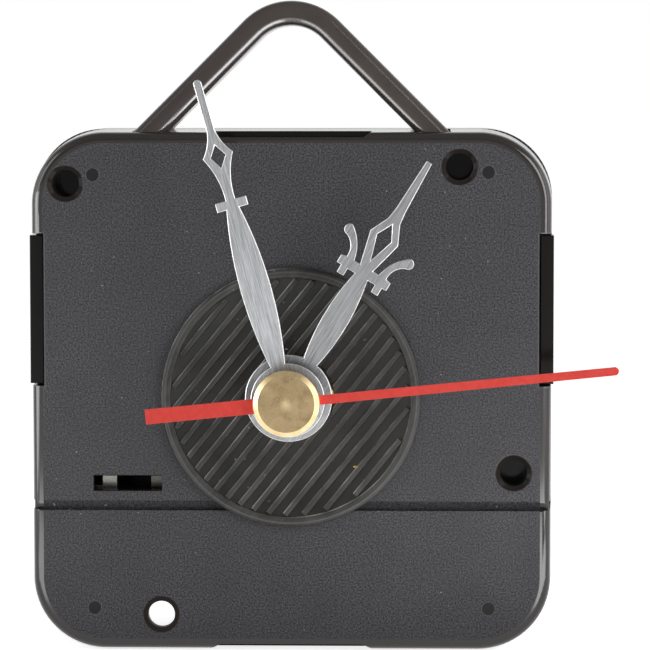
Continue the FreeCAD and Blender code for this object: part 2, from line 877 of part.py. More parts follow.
def rubber_washer():
    """Ribbed washer, hanging by its hole from the bush's shank."""
    centre = (0, bush_shank_radius + washer_gap - washer_hole_radius)
    inner = washer_radius - washer_rim
    web = rod(centre, washer_radius, -washer_web, 0)
    rim = tube(centre, washer_radius, inner, -washer_thickness, -washer_web)
    count = int(inner / rib_pitch)
    ribs = []
    for index in range(-count, count + 1):
        offset = index * rib_pitch
        reach = math.sqrt(inner ** 2 - (abs(offset) + rib_width / 2) ** 2) - rib_end_gap
        rib = block(-reach, reach, -washer_web - rib_height, -washer_web,
                    offset - rib_width / 2, offset + rib_width / 2)
        rib = turned(rib, rib_angle)
        rib.translate(point(centre[0], 0, centre[1]))
        ribs.append(rib)
    washer = fused([web, rim] + ribs)
    return washer.cut(rod(centre, washer_hole_radius, -washer_thickness, 0))


# Shells

def hanger_outline(grow):
    """Face of the hanger's bar as seen from the dial side, grown by a clearance."""
    top = half_height + hanger_height
    base_z = inner_half_height
    centre_z = top - hanger_top_radius
    faces = []
    for radius in (hanger_top_radius + grow, hanger_top_radius - hanger_bar_width - grow):
        side = radius * math.sqrt(0.5)
        low_x = side + (centre_z + side - base_z)
        start = point(low_x, 0, base_z)
        leg_top = point(side, 0, centre_z + side)
        crown = point(0, 0, centre_z + radius)
        edges = [line(start, leg_top), arc(leg_top, crown, point(-side, 0, centre_z + side)),
                 line(point(-side, 0, centre_z + side), point(-low_x, 0, base_z)),
                 line(point(-low_x, 0, base_z), start)]
        faces.append(Part.Face(Part.Wire(edges)))
    return faces[0].cut(faces[1])


def hanger_bar(grow, front, back):
    bar = hanger_outline(grow)
    bar.translate(point(0, front, 0))
    return bar.extrude(Vector(0, back - front, 0))


def hanger():
    """Loop with a rounded inner front edge, and feet that the shells trap."""
    back = split_depth - hanger_slot_gap
    bar = hanger_bar(0, hanger_front, back)
    crown_z = half_height + hanger_height - hanger_top_radius
    limit = crown_z + (hanger_top_radius - hanger_bar_width / 2) * math.sqrt(2)

    def inner_front(edge):
        """Edges near the front face on the inner side of the bar, from leg to leg."""
        middle = edge.valueAt((edge.FirstParameter + edge.LastParameter) / 2)
        near_front = middle.y < hanger_front + hanger_inner_round
        above_base = middle.z > inner_half_height + hanger_slot_gap
        on_crown = math.hypot(middle.x, middle.z - crown_z) < hanger_top_radius - hanger_bar_width / 2
        return near_front and above_base and (on_crown or abs(middle.x) + middle.z < limit)

    bar = softened(bar, hanger_inner_round, inner_front)
    feet = []
    outer_x = hanger_half_base + side_wall - hanger_bar_width
    for side in (-1, 1):
        ends = sorted((side * outer_x, side * (outer_x - hanger_foot_length)))
        feet.append(block(ends[0], ends[1], front_wall + hanger_slot_gap, back,
                          inner_half_height - hanger_foot_height, inner_half_height))
    return fused([bar] + feet)


def front_holes():
    """Screw holes with countersinks, and the hole over the battery bay."""
    cuts = []
    for place in screw_hole_places:
        cuts.append(rod(place, screw_hole_radius, 0, screw_hole_depth))
        cuts.append(cone(place, countersink_radius, screw_hole_radius, 0, countersink_depth))
    cuts.append(rod(bay_hole_place, bay_hole_radius, 0, front_wall))
    return Part.makeCompound(cuts)


def rim_notches():
    """Shallow notches in the top and bottom rim, with sloping ends."""
    notches = []
    for side in (-1, 1):
        outer = side * (half_height + cut_over)
        inner = side * (half_height - notch_height)
        edge = side * half_height
        places = ((-notch_half_width, outer), (-notch_half_width, edge),
                  (-notch_half_width + notch_end, inner), (notch_half_width - notch_end, inner),
                  (notch_half_width, edge), (notch_half_width, outer))
        notches.append(prism(places, -cut_over, cut_over + notch_depth))
    return Part.makeCompound(notches)


def latch_recesses():
    """Recesses in both sides for the latch arms, with the pockets of the nubs."""
    floor = half_width - recess_depth
    pocket_low = recess_low + nub_margin
    pocket_high = recess_high - nub_margin
    recess = block(floor, half_width + cut_over, -cut_over, split_depth, recess_low, recess_high)
    pocket = block(floor - nub_reach - nub_clearance, floor, nub_start - nub_clearance,
                   nub_end + nub_clearance, pocket_low, pocket_high)
    cut = recess.fuse(pocket)
    return Part.makeCompound([cut, mirrored_x(cut)])


def face_groove():
    """Groove across the face that deepens downwards, and its shallow run round the sides."""
    low = bay_high - groove_height
    left = -half_width - cut_over
    corners = [point(left, 0, bay_high), point(left, groove_depth, low),
               point(left, -cut_over, low), point(left, -cut_over, bay_high)]
    section = Part.Face(Part.makePolygon(corners + corners[:1]))
    across = section.extrude(Vector(case_width + 2 * cut_over, 0, 0))
    side = block(half_width - groove_side, half_width + cut_over, 0, split_depth, low, bay_high)
    return Part.makeCompound([across, side, mirrored_x(side)])


def partition(front, back):
    """Wall between the battery bay and the wheels."""
    return block(-inner_half, inner_half, front, back, bay_high, partition_top)


def contact_openings():
    """Passages of the contact strips through the partition, beside the end walls."""
    inner = inner_half - strip_thickness - 2 * strip_gap
    left = block(-inner_half, -inner, contact_plate_front - strip_gap,
                 contact_plate_front + strip_width + strip_gap, bay_high, partition_top)
    right = block(inner, inner_half, positive_strip_front - strip_gap,
                  positive_strip_front + strip_width + strip_gap, bay_high, partition_top)
    return Part.makeCompound([left, right])


def cell_space():
    """Room for the cell, and the finger gap in the lower side."""
    cell = Part.makeCylinder(cell_radius + cell_clearance, 2 * cell_half_length,
                             point(-cell_half_length, cell_depth, cell_z), Vector(1, 0, 0))
    below = block(-finger_gap_half_width, finger_gap_half_width, finger_gap_depth, case_depth,
                  -rear_half_height - cut_over, cell_z)
    return cell.fuse(below)


def front_case():
    outline = rounded_wire(half_width, half_height, corner_radius, 0)
    shell = Part.Face(outline).extrude(Vector(0, split_depth, 0))
    shell = softened(shell, rim_round, lambda edge: edge.BoundBox.YMax < rim_round)
    cavity_wire = rounded_wire(inner_half, inner_half_height, corner_radius - side_wall, front_wall)
    cavity = Part.Face(cavity_wire).extrude(Vector(0, split_depth - front_wall, 0))
    shell = shell.cut(cavity)
    floor = half_width - recess_depth
    jog = block(floor - recess_wall, inner_half, front_wall, split_depth,
                recess_low - recess_wall, recess_high + recess_wall)
    inside = [partition(front_wall, split_depth), jog, mirrored_x(jog)]
    inside += [post(place, post_half, front_wall, split_depth) for place in screw_hole_places]
    inside += [post(place, plate_post_half, front_wall, plate_front)
               for place in upper_post_places + lower_post_places]
    inside += [post(place, board_post_half, front_wall, board_front) for place in board_post_places]
    inside.append(rod(motion_axis, pivot_radius, front_wall, plate_front))
    boss_back = motion_wheel_front - cannon_extra - pivot_gap
    inside.append(post(setting_axis, pivot_radius + running_gap + boss_wall, front_wall, boss_back))
    shell = fused([shell] + inside)
    shell = shell.cut(rod(setting_axis, pivot_radius + running_gap, front_wall, boss_back))
    slot = block(slot_left, slot_right, 0, front_wall, slot_low, slot_low + slot_height)
    for cut in (rim_notches(), latch_recesses(), face_groove(), front_holes(), slot, contact_openings(),
                cell_space(), bush_seat(bush_seat_radius + seat_gap),
                hanger_bar(hanger_slot_gap, hanger_front - hanger_slot_gap, split_depth)):
        shell = shell.cut(cut)
    return shell


def latch_arm():
    """Arm of the rear case in the right-hand recess, with its catch nub."""
    outer = rear_half
    inner = outer - latch_thickness
    tip_front = latch_setback
    places = ((outer, split_depth), (outer, tip_front), (outer - latch_tip, tip_front),
              (inner, tip_front + latch_taper), (inner, split_depth))
    low = recess_low + latch_gap
    arm = upright_prism(places, low, recess_high - recess_low - 2 * latch_gap)
    catch = half_width - recess_depth - nub_reach
    nub_places = ((inner, nub_start), (catch, nub_end), (inner, nub_end))
    nub_low = recess_low + nub_margin + nub_clearance
    nub_high = recess_high - nub_margin - nub_clearance
    nub = upright_prism(nub_places, nub_low, nub_high - nub_low)
    return fused([arm, nub])


def rear_posts():
    """Posts that close on the screw posts, the stator and the middle plate."""
    posts = [post(place, post_half, split_depth, rear_inside) for place in screw_hole_places]
    posts += [post(place, plate_post_half, stator_back, rear_inside) for place in upper_post_places]
    posts += [post(place, plate_post_half, plate_back, rear_inside) for place in lower_post_places]
    return posts


rear_pivots = ((shaft, seconds_arbor_radius), (third_axis, pivot_radius), (intermediate_axis, pivot_radius),
               (rotor_axis, pivot_radius))


def rear_bosses():
    """Square bosses of the rear pivots."""
    return [post(axis, radius + running_gap + boss_wall, boss_front, rear_inside)
            for axis, radius in rear_pivots]


def rear_case():
    outline = rounded_wire(rear_half, rear_half_height, corner_radius - rear_corner_cut, split_depth)
    shell = Part.Face(outline).extrude(Vector(0, case_depth - split_depth, 0))
    back_edges = [edge for edge in shell.Edges if edge.BoundBox.YMin > case_depth - back_chamfer]
    shell = shell.makeChamfer(back_chamfer, back_edges)
    cavity_wire = rounded_wire(inner_half, inner_half_height, corner_radius - side_wall, split_depth)
    room = Part.Face(cavity_wire).extrude(Vector(0, case_depth, 0))
    cavity = room.common(block(-inner_half, inner_half, split_depth, rear_inside,
                               -inner_half_height, inner_half_height))
    bay = room.common(block(-inner_half, inner_half, split_depth, case_depth + cut_over,
                            -inner_half_height, bay_high))
    shell = shell.cut(cavity)
    pocket_radius = knob_radius + knob_clearance
    pocket_tube = rod(setting_axis, pocket_radius + knob_pocket_wall, knob_pocket_front, rear_inside)
    inside = [partition(split_depth, rear_inside), pocket_tube] + rear_posts() + rear_bosses()
    shell = fused([shell] + inside).cut(bay)
    arm = latch_arm()
    shell = fused([shell, arm, mirrored_x(arm)])
    cuts = [rod(setting_axis, pocket_radius, knob_pocket_back, case_depth),
            rod(setting_axis, knob_stem_radius + running_gap, knob_pocket_front, knob_pocket_back)]
    for axis, radius in rear_pivots:
        cuts.append(rod(axis, radius + running_gap, boss_front, boss_front + pivot_depth))
    channel = block(positive_tail_left, inner_half, positive_strip_front - strip_gap,
                    positive_strip_front + strip_width + strip_gap,
                    partition_top, partition_top + strip_thickness + 2 * strip_gap)
    for cut in cuts + [contact_openings(), cell_space(), channel]:
        shell = shell.cut(cut)
    return shell


def middle_plate():
    """Bearing plate, with posts that hold the stator."""
    right = setting_axis[0] + plate_edge
    low = lower_post_z - plate_post_edge
    high = upper_post_z + plate_post_edge
    places = ((plate_left + plate_corner, low), (right - plate_corner, low), (right, low + plate_corner),
              (right, high - plate_corner), (right - plate_corner, high), (plate_left + plate_corner, high),
              (plate_left, high - plate_corner), (plate_left, low + plate_corner))
    plate = prism(places, plate_front, plate_thickness)
    posts = [post(place, plate_post_half, plate_back, stator_front) for place in upper_post_places]
    plate = fused([plate] + posts)
    holes = [rod(shaft, minute_pipe_radius + running_gap, plate_front, plate_back),
             rod(setting_axis, knob_stem_radius + running_gap, plate_front, plate_back)]
    for axis in (third_axis, intermediate_axis, rotor_axis):
        holes.append(rod(axis, pivot_radius + running_gap, plate_back - pivot_depth, plate_back))
    return plate.cut(Part.makeCompound(holes))


# Motor and electronics

def stator():
    """Iron plate: a bar with the rotor hole, and two arms up to the coil."""
    left = stator_centre_x - stator_half_width
    right = stator_centre_x + stator_half_width
    low = rotor_axis[1] - stator_bar_half
    high = rotor_axis[1] + stator_bar_half
    bar = block(left, right, stator_front, stator_back, low, high)
    arms = [block(left, left + stator_arm_width, stator_front, stator_back, high, stator_top),
            block(right - stator_arm_width, right, stator_front, stator_back, high, stator_top)]
    hole = rod(rotor_axis, magnet_radius + stator_air_gap, stator_front, stator_back)
    return fused([bar] + arms).cut(hole)


def coil_core():
    """Iron strip that lies on the stator's arms and passes through the coil."""
    return block(stator_centre_x - stator_half_width, stator_centre_x + stator_half_width,
                 stator_front - core_thickness, stator_front,
                 coil_height - core_width / 2, coil_height + core_width / 2)


def coil_span():
    inner = stator_half_width - stator_arm_width - bobbin_end_gap
    return stator_centre_x - inner, stator_centre_x + inner


def coil_block(half, left, right):
    """Square block round the core."""
    middle = stator_front - core_thickness / 2
    return block(left, right, middle - half, middle + half, coil_height - half, coil_height + half)


def core_channel(gap):
    left, right = coil_span()
    return block(left, right, stator_front - core_thickness - gap, stator_front + gap,
                 coil_height - core_width / 2 - gap, coil_height + core_width / 2 + gap)


def coil_bobbin():
    left, right = coil_span()
    barrel = core_channel(seat_gap + bobbin_wall)
    barrel = barrel.common(coil_block(bobbin_flange_half, left, right))
    flanges = [coil_block(bobbin_flange_half, left, left + bobbin_flange_thickness),
               coil_block(bobbin_flange_half, right - bobbin_flange_thickness, right)]
    return fused([barrel] + flanges).cut(core_channel(seat_gap))


def coil_winding():
    """Winding between the flanges, with rounded corners."""
    left, right = coil_span()
    inner_left = left + bobbin_flange_thickness
    inner_right = right - bobbin_flange_thickness
    body = coil_block(winding_half, inner_left, inner_right)
    corners = [edge for edge in body.Edges if edge.BoundBox.XLength > winding_half]
    body = body.makeFillet(winding_corner, corners)
    return body.cut(core_channel(2 * seat_gap + bobbin_wall))


def circuit_board():
    return block(board_left, board_right, board_front, board_back, board_low, board_high)


def chip_cover():
    return post((chip_x, chip_z), chip_half, board_back, board_back + chip_height)


def quartz_crystal():
    foot = point(crystal_x, board_back + crystal_radius, crystal_low)
    return Part.makeCylinder(crystal_radius, crystal_length, foot, Vector(0, 0, 1))


def negative_contact():
    """End plate with a bowed spring, a strip over the partition and a tail on the board."""
    wall = inner_half - strip_gap
    inner = wall - strip_thickness
    plate = block(-wall, -inner, contact_plate_front, contact_plate_front + contact_plate_width,
                  contact_plate_low, contact_plate_high)
    run_low = partition_top
    run_high = run_low + strip_thickness
    riser = block(-wall, -inner, contact_plate_front, contact_plate_front + strip_width,
                  contact_plate_high, run_high)
    run = block(-inner, negative_tail_right, contact_plate_front, contact_plate_front + strip_width,
                run_low, run_high)
    tail = block(negative_tail_left, negative_tail_right, board_front - strip_thickness, board_front,
                 run_high, board_low + tail_overlap)
    crest = -inner + spring_reach
    end = crest - spring_end_reach
    end_low = cell_z - spring_end_drop
    crest_high = cell_z + spring_crest_half
    crest_low = cell_z - spring_crest_half
    places = ((-inner, contact_plate_high), (crest, crest_high), (crest, crest_low),
              (end, end_low), (end - strip_thickness, end_low + strip_thickness),
              (crest - strip_thickness, crest_low + strip_thickness),
              (crest - strip_thickness, crest_high - strip_thickness),
              (-inner, contact_plate_high - spring_root))
    spring_front = contact_plate_front + (contact_plate_width - spring_width) / 2
    spring = prism(places, spring_front, spring_width)
    return fused([plate, riser, run, tail, spring])


def positive_contact():
    """End plate with a raised button, a long strip over the partition and a tail on the board."""
    wall = inner_half - strip_gap
    inner = wall - strip_thickness
    plate = block(inner, wall, contact_plate_front, contact_plate_front + contact_plate_width,
                  contact_plate_low, contact_plate_high)
    centre_depth = contact_plate_front + contact_plate_width / 2
    button = Part.makeCylinder(button_radius, button_height,
                               point(inner, centre_depth, cell_z), Vector(-1, 0, 0))
    run_low = partition_top + strip_gap
    run_high = run_low + strip_thickness
    strip_back = positive_strip_front + strip_width
    riser = block(inner, wall, positive_strip_front, strip_back, contact_plate_high, run_high)
    run = block(positive_tail_left, inner, positive_strip_front, strip_back, run_low, run_high)
    foot = block(positive_tail_left, positive_tail_right, board_front - strip_thickness,
                 positive_strip_front, run_low, run_high)
    tail = block(positive_tail_left, positive_tail_right, board_front - strip_thickness, board_front,
                 run_high, board_low + tail_overlap)
    return fused([plate, button, riser, run, foot, tail])


pieces = {
    "front_case": front_case,
    "rear_case": rear_case,
    "hanger": hanger,
    "threaded_bush": threaded_bush,
    "rubber_washer": rubber_washer,
    "middle_plate": middle_plate,
    "circuit_board": circuit_board,
    "chip_cover": chip_cover,
    "quartz_crystal": quartz_crystal,
    "stator": stator,
    "coil_core": coil_core,
    "coil_bobbin": coil_bobbin,
    "coil_winding": coil_winding,
    "negative_contact": negative_contact,
    "positive_contact": positive_contact,
    "rotor_magnet": rotor_magnet,
    "rotor_pinion": rotor_pinion,
    "intermediate_wheel": intermediate_wheel,
    "seconds_wheel": seconds_wheel,
    "seconds_arbor": seconds_arbor,
    "second_hand": second_hand,
    "second_hand_cap": second_hand_cap,
    "third_wheel": third_wheel,
    "minute_drive_wheel": minute_drive_wheel,
    "minute_pipe": minute_pipe,
    "minute_hand": minute_hand,
    "motion_wheel": motion_wheel,
    "hour_wheel": hour_wheel,
    "hour_hand": hour_hand,
    "setting_stem": setting_stem,
    "setting_knob": setting_knob,
}

os.makedirs("parts", exist_ok=True)
for name, make in pieces.items():
    make().exportStep(os.path.join("parts", name + ".step"))
print("wrote", len(pieces), "pieces")
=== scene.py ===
import math
import bpy
import bmesh
from mathutils import Matrix, Vector


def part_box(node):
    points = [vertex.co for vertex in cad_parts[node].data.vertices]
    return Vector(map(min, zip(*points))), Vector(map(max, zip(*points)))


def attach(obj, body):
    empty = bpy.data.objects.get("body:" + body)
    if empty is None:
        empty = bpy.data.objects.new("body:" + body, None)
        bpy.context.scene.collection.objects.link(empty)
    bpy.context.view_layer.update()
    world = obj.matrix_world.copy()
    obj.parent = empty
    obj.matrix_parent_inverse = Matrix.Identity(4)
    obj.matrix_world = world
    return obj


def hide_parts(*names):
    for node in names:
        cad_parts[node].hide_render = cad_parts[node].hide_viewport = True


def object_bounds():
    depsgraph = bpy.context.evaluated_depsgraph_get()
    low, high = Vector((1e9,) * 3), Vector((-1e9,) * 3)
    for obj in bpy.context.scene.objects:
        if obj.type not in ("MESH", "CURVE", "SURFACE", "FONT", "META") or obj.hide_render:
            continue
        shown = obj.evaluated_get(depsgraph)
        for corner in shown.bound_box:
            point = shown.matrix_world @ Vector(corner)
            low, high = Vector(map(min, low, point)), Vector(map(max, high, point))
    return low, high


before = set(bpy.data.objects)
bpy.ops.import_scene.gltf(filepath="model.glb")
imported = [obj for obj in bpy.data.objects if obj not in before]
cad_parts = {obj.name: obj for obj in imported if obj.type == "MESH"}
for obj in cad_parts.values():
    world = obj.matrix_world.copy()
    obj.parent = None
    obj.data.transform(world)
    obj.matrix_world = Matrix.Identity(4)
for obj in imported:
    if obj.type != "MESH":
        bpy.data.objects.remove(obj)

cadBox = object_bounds()
mm = 0.001


class nodeKit:
    # Short ways to add nodes to one tree

    def __init__(self, tree):
        self.tree = tree

    def link(self, source, target):
        self.tree.links.new(source, target)

    def node(self, kind, inputs=None, **values):
        # An input takes a number, a colour or another node's output
        made = self.tree.nodes.new(kind)
        for name, value in values.items():
            setattr(made, name, value)
        for key, value in (inputs or {}).items():
            socket = made.inputs[key]
            if isinstance(value, bpy.types.NodeSocket):
                self.link(value, socket)
            elif socket.type == "RGBA":
                socket.default_value = (*value, 1)
            else:
                socket.default_value = value
        return made

    def math(self, operation, *values):
        return self.node("ShaderNodeMath", dict(enumerate(values)), operation=operation).outputs[0]

    def plus(self, first, second):
        return self.math("ADD", first, second)

    def minus(self, first, second):
        return self.math("SUBTRACT", first, second)

    def times(self, first, second):
        return self.math("MULTIPLY", first, second)

    def larger(self, first, second):
        return self.math("MAXIMUM", first, second)

    def smaller(self, first, second):
        return self.math("MINIMUM", first, second)

    def over(self, value, limit):
        return self.math("GREATER_THAN", value, limit)

    def under(self, value, limit):
        return self.math("LESS_THAN", value, limit)

    def unsigned(self, value):
        return self.math("ABSOLUTE", value)

    def split(self, vector):
        # The three parts of a vector
        return tuple(self.node("ShaderNodeSeparateXYZ", {"Vector": vector}).outputs)

    def combine(self, *parts):
        return self.node("ShaderNodeCombineXYZ", dict(enumerate(parts))).outputs[0]

    def length(self, vector):
        return self.node("ShaderNodeVectorMath", {0: vector}, operation="LENGTH").outputs["Value"]


# Materials: every pattern is read in object coordinates, which are metres

class finishKit(nodeKit):
    # One material and the patterns that it is made of

    def __init__(self, name, color, roughness, metallic=0.0, specular=0.5):
        self.material = bpy.data.materials.new(name)
        self.material.use_nodes = True
        self.material.diffuse_color = (*color, 1)
        super().__init__(self.material.node_tree)
        self.shader = self.tree.nodes["Principled BSDF"]
        for socket, value in (("Base Color", (*color, 1)), ("Roughness", roughness),
                              ("Metallic", metallic), ("Specular IOR Level", specular)):
            self.shader.inputs[socket].default_value = value

    def place(self, turn=(0, 0, 0), stretch=(1, 1, 1), centre=(0, 0, 0)):
        # Object coordinates about a centre, turned by degrees and stretched
        shift = self.node("ShaderNodeMapping", {
            "Vector": self.node("ShaderNodeTexCoord").outputs["Object"],
            "Location": [-value for value in centre],
        }, vector_type="POINT")
        mapping = self.node("ShaderNodeMapping", {
            "Vector": shift.outputs[0],
            "Rotation": [math.radians(value) for value in turn],
            "Scale": stretch,
        }, vector_type="TEXTURE")
        return mapping.outputs[0]

    def facing(self, kind="Normal"):
        # How the surface faces along X, Y and Z
        return self.split(self.node("ShaderNodeNewGeometry").outputs[kind])

    def noise(self, vector, size, detail=3.0, roughness=0.5):
        # Noise with features of about this size in metres
        return self.node("ShaderNodeTexNoise", {
            "Vector": vector, "Scale": 1 / size, "Detail": detail, "Roughness": roughness,
        }).outputs["Fac"]

    def turning(self, centre, scale, detail):
        # Distance from a centre, seen along Y, and fine turning rings about it
        reach = self.length(self.place(stretch=(1, 1000, 1), centre=centre))
        rings = self.node("ShaderNodeTexNoise", {"W": reach, "Scale": scale, "Detail": detail},
                          noise_dimensions="1D")
        return reach, rings.outputs["Fac"]

    def ramp(self, value, *stops):
        # Colour ramp of two stops, each a place and a colour or a grey
        ramp = self.node("ShaderNodeValToRGB", {"Fac": value})
        for element, (at, color) in zip(ramp.color_ramp.elements, stops):
            element.position = at
            element.color = (*color, 1) if isinstance(color, tuple) else (color, color, color, 1)
        return ramp.outputs["Color"]

    def step(self, value, low, high, first=0.0, second=1.0):
        # Smooth change from first to second as the value goes from low to high
        return self.node("ShaderNodeMapRange", {
            "Value": value, "From Min": low, "From Max": high, "To Min": first, "To Max": second,
        }, interpolation_type="SMOOTHSTEP").outputs["Result"]

    def mix(self, share, first, second):
        # Colour between two; sockets 0, 6 and 7 are the share and the colours
        return self.node("ShaderNodeMix", {0: share, 6: first, 7: second}, data_type="RGBA").outputs[2]

    def nearest(self, vector, places):
        # Distance to the nearest of these places
        found = None
        for place in places:
            apart = self.node("ShaderNodeVectorMath", {0: vector, 1: place}, operation="DISTANCE")
            reach = apart.outputs["Value"]
            found = reach if found is None else self.smaller(found, reach)
        return found

    def bump(self, height, strength, depth, normal=None):
        made = self.node("ShaderNodeBump", {"Height": height, "Strength": strength, "Distance": depth})
        if normal is not None:
            self.link(normal, made.inputs["Normal"])
        return made.outputs["Normal"]

    def softEdge(self, radius):
        # Normal that rounds sharp edges by this radius
        return self.node("ShaderNodeBevel", {"Radius": radius}, samples=6).outputs["Normal"]

    def edges(self, radius, low=0.02, high=0.2):
        # 1 along sharp edges within this radius, and 0 elsewhere
        sharp = self.node("ShaderNodeNewGeometry").outputs["Normal"]
        dot = self.node("ShaderNodeVectorMath", {0: self.softEdge(radius), 1: sharp}, operation="DOT_PRODUCT")
        return self.step(self.minus(1.0, dot.outputs["Value"]), low, high)

    def varied(self, cloud, spread, middle):
        # Number that varies about its middle with a cloud
        return self.plus(self.times(cloud, spread), middle - spread / 2)

    def give(self, socket, source):
        self.link(source, self.shader.inputs[socket])

    def color(self, source):
        self.give("Base Color", source)

    def rough(self, cloud, spread, middle):
        self.give("Roughness", self.varied(cloud, spread, middle))

    def relief(self, height, strength, depth, edge=None):
        # Fine relief over edges rounded by this radius
        soft = None if edge is None else self.softEdge(edge)
        self.give("Normal", self.bump(height, strength, depth, soft))


caseLook = {
    "faceDark": (0.0090, 0.0087, 0.0098),
    "faceLight": (0.090, 0.0875, 0.095),
    "grain": 0.00018,
    "grainDepth": 0.00005,
    "grainLow": 0.39,
    "grainHigh": 0.64,
    "cloud": 0.005,
    "cloudShade": 0.4,
    "fleck": (0.26, 0.26, 0.26),
    "fleckSize": 0.00042,
    "fleckShare": 0.7,
    "fleckFade": (0.755, 0.80),
    "faceRough": 0.46,
    "faceSpecular": 0.2,
    "faceHalf": 0.02685,
    "faceCorner": 0.0067,
    "faceDepth": 0.0006,   # the texture ends at this depth
    # painted shade on faces that slope downwards, such as the groove's lower slope
    "groovePaintedShade": 0.5,
    "grooveSpecular": 0.09,
    "rim": (0.0200, 0.0165, 0.0150),
    "rimRough": 0.12,
    "rimSpecular": 0.5,
    "edgeRound": 0.00012,
    # darker colour for the floors of recesses: painted shade
    "floor": (0.0060, 0.0056, 0.0054),
    "floorSpecular": 0.12,
    "floorDepth": 0.0008,   # what faces forwards past this depth is a floor
    "holePlaces": ((-0.0243, 0, 0.0225), (0.0181, 0, 0.0243), (0.0240, 0, -0.0087), (-0.0141, 0, -0.0242)),
    "holeRing": 0.00198,
    "ringSpecular": 0.03,
    "ringSoft": 0.0001,
    "mark": (0.026, 0.025, 0.025),
    "markEdge": (0.085, 0.083, 0.085),
    "markPlaces": ((-0.02135, 0, 0.02345), (0.0212, 0, 0.0237), (-0.02135, 0, -0.0235), (0.0213, 0, -0.0235)),
    "markRadius": 0.00072,
    "markSoft": 0.00008,
    "markCover": 0.85,
    "markLine": 0.00007,
    "stepDepth": 0.00006,   # how far rings and marks seem to step back
    # colour of a painted highlight along the rounded edge beside each notch
    "notchHighlight": (0.072, 0.070, 0.071),
    "notchLine": 0.0002,
    "notchInner": 0.0267,
    "notchMiddle": 0.008875,
    "notchHalf": 0.008225,
}


def pastSides(finish, gaps):
    # Distance past the sides of a rectangle, from the gap to each pair of sides
    return finish.length(finish.combine(*[finish.larger(gap, 0.0) for gap in gaps]))


def outsideSquare(finish, x, z, half, corner):
    # Distance outside a square with rounded corners, negative inside
    gaps = [finish.minus(finish.unsigned(value), half - corner) for value in (x, z)]
    inner = finish.smaller(finish.larger(*gaps), 0.0)
    return finish.minus(finish.plus(pastSides(finish, gaps), inner), corner)


def outsideNotch(finish, x, z, look):
    # Distance outside the two notches that the latch arms fill
    up = finish.unsigned(finish.minus(z, look["notchMiddle"]))
    return pastSides(finish, (finish.minus(look["notchInner"], finish.unsigned(x)),
                              finish.minus(up, look["notchHalf"])))


def mouldedFace(look):
    # Spark-eroded texture on the flat face, polished rim, sides and hole edges, with painted shade on the
    # groove's downward slope and on the recess floors, and a painted highlight beside the notches
    finish = finishKit("caseFace", look["rim"], 0.3, specular=look["rimSpecular"])
    place = finish.place()
    x, y, z = finish.split(place)
    faceY, faceZ = finish.facing("True Normal")[1:]
    front = finish.under(faceY, -0.8)
    near = finish.under(y, look["faceDepth"])
    floor = finish.times(front, finish.over(y, look["floorDepth"]))
    inside = finish.under(outsideSquare(finish, x, z, look["faceHalf"], look["faceCorner"]), 0.0)
    hole = finish.nearest(place, look["holePlaces"])
    away = finish.over(hole, look["holeRing"])
    soft = look["ringSoft"]
    ring = finish.step(hole, look["holeRing"] - soft, look["holeRing"] + soft, 1.0, 0.0)
    mark = finish.nearest(place, look["markPlaces"])
    marked = finish.step(mark, look["markRadius"] - look["markSoft"], look["markRadius"], 1.0, 0.0)
    flat = finish.times(finish.times(front, near), finish.times(inside, away))
    grainy = finish.times(flat, finish.minus(1.0, finish.times(marked, look["markCover"])))
    # Painted shade: faces that slope downwards, such as the groove's lower slope, are darkened towards the
    # dark face colour
    sloping = finish.step(faceZ, -0.4, -0.2, 1.0, 0.0)

    fine = finish.noise(place, look["grain"], 2.5, 0.7)
    broad = finish.noise(place, look["cloud"], 2.0)
    grain = finish.ramp(fine, (look["grainLow"], look["faceDark"]), (look["grainHigh"], look["faceLight"]))
    shade = finish.larger(finish.times(broad, look["cloudShade"]), finish.times(sloping, look["groovePaintedShade"]))
    cloudyWithGrooveShade = finish.mix(shade, grain, look["faceDark"])
    fleck = finish.step(finish.noise(place, look["fleckSize"], 1.0), *look["fleckFade"])
    dusty = finish.mix(finish.times(fleck, look["fleckShare"]), cloudyWithGrooveShade, look["fleck"])
    # Painted shade: forward-facing floors deep in the recesses take the darker floor colour
    plain = finish.mix(floor, look["rim"], look["floor"])
    dark = finish.mix(marked, finish.mix(grainy, plain, dusty), look["mark"])
    aside = finish.unsigned(finish.minus(mark, look["markRadius"] + 0.00002))
    ringed = finish.times(finish.step(aside, 0.00002, look["markLine"], 0.5, 0.0), near)
    lined = finish.mix(ringed, dark, look["markEdge"])
    # Painted highlight: a pale line along the rounded face edge beside each notch
    beside = finish.step(outsideNotch(finish, x, z, look), 0.00012, look["notchLine"], 0.9, 0.0)
    finish.color(finish.mix(finish.times(beside, near), lined, look["notchHighlight"]))

    drop = 0.0
    for part, kind in ((floor, "floor"), (finish.larger(ring, marked), "ring"), (grainy, "face"),
                       (finish.times(grainy, sloping), "groove")):
        drop = finish.larger(finish.times(part, look["rimSpecular"] - look[kind + "Specular"]), drop)
    finish.give("Specular IOR Level", finish.minus(look["rimSpecular"], drop))
    shine = finish.times(grainy, look["faceRough"] - look["rimRough"])
    finish.give("Roughness", finish.plus(shine, finish.varied(broad, 0.06, look["rimRough"])))
    sunk = finish.times(finish.plus(finish.times(ring, 0.6), marked), near)
    rounded = finish.softEdge(look["edgeRound"])
    stepped = finish.bump(finish.minus(1.0, sunk), 0.8, look["stepDepth"], rounded)
    finish.give("Normal", finish.bump(finish.times(fine, grainy), 0.6, look["grainDepth"], stepped))
    return finish.material


def flowMarks(finish, dark, light, roughness, edge=None):
    # Slight flow marks in a polished moulding
    place = finish.place()
    broad = finish.noise(place, 0.006)
    finish.color(finish.ramp(broad, (0.3, dark), (0.7, light)))
    finish.rough(broad, 0.1, roughness)
    finish.relief(finish.noise(place, 0.0006, 2.0), 0.08, 0.00001, edge)


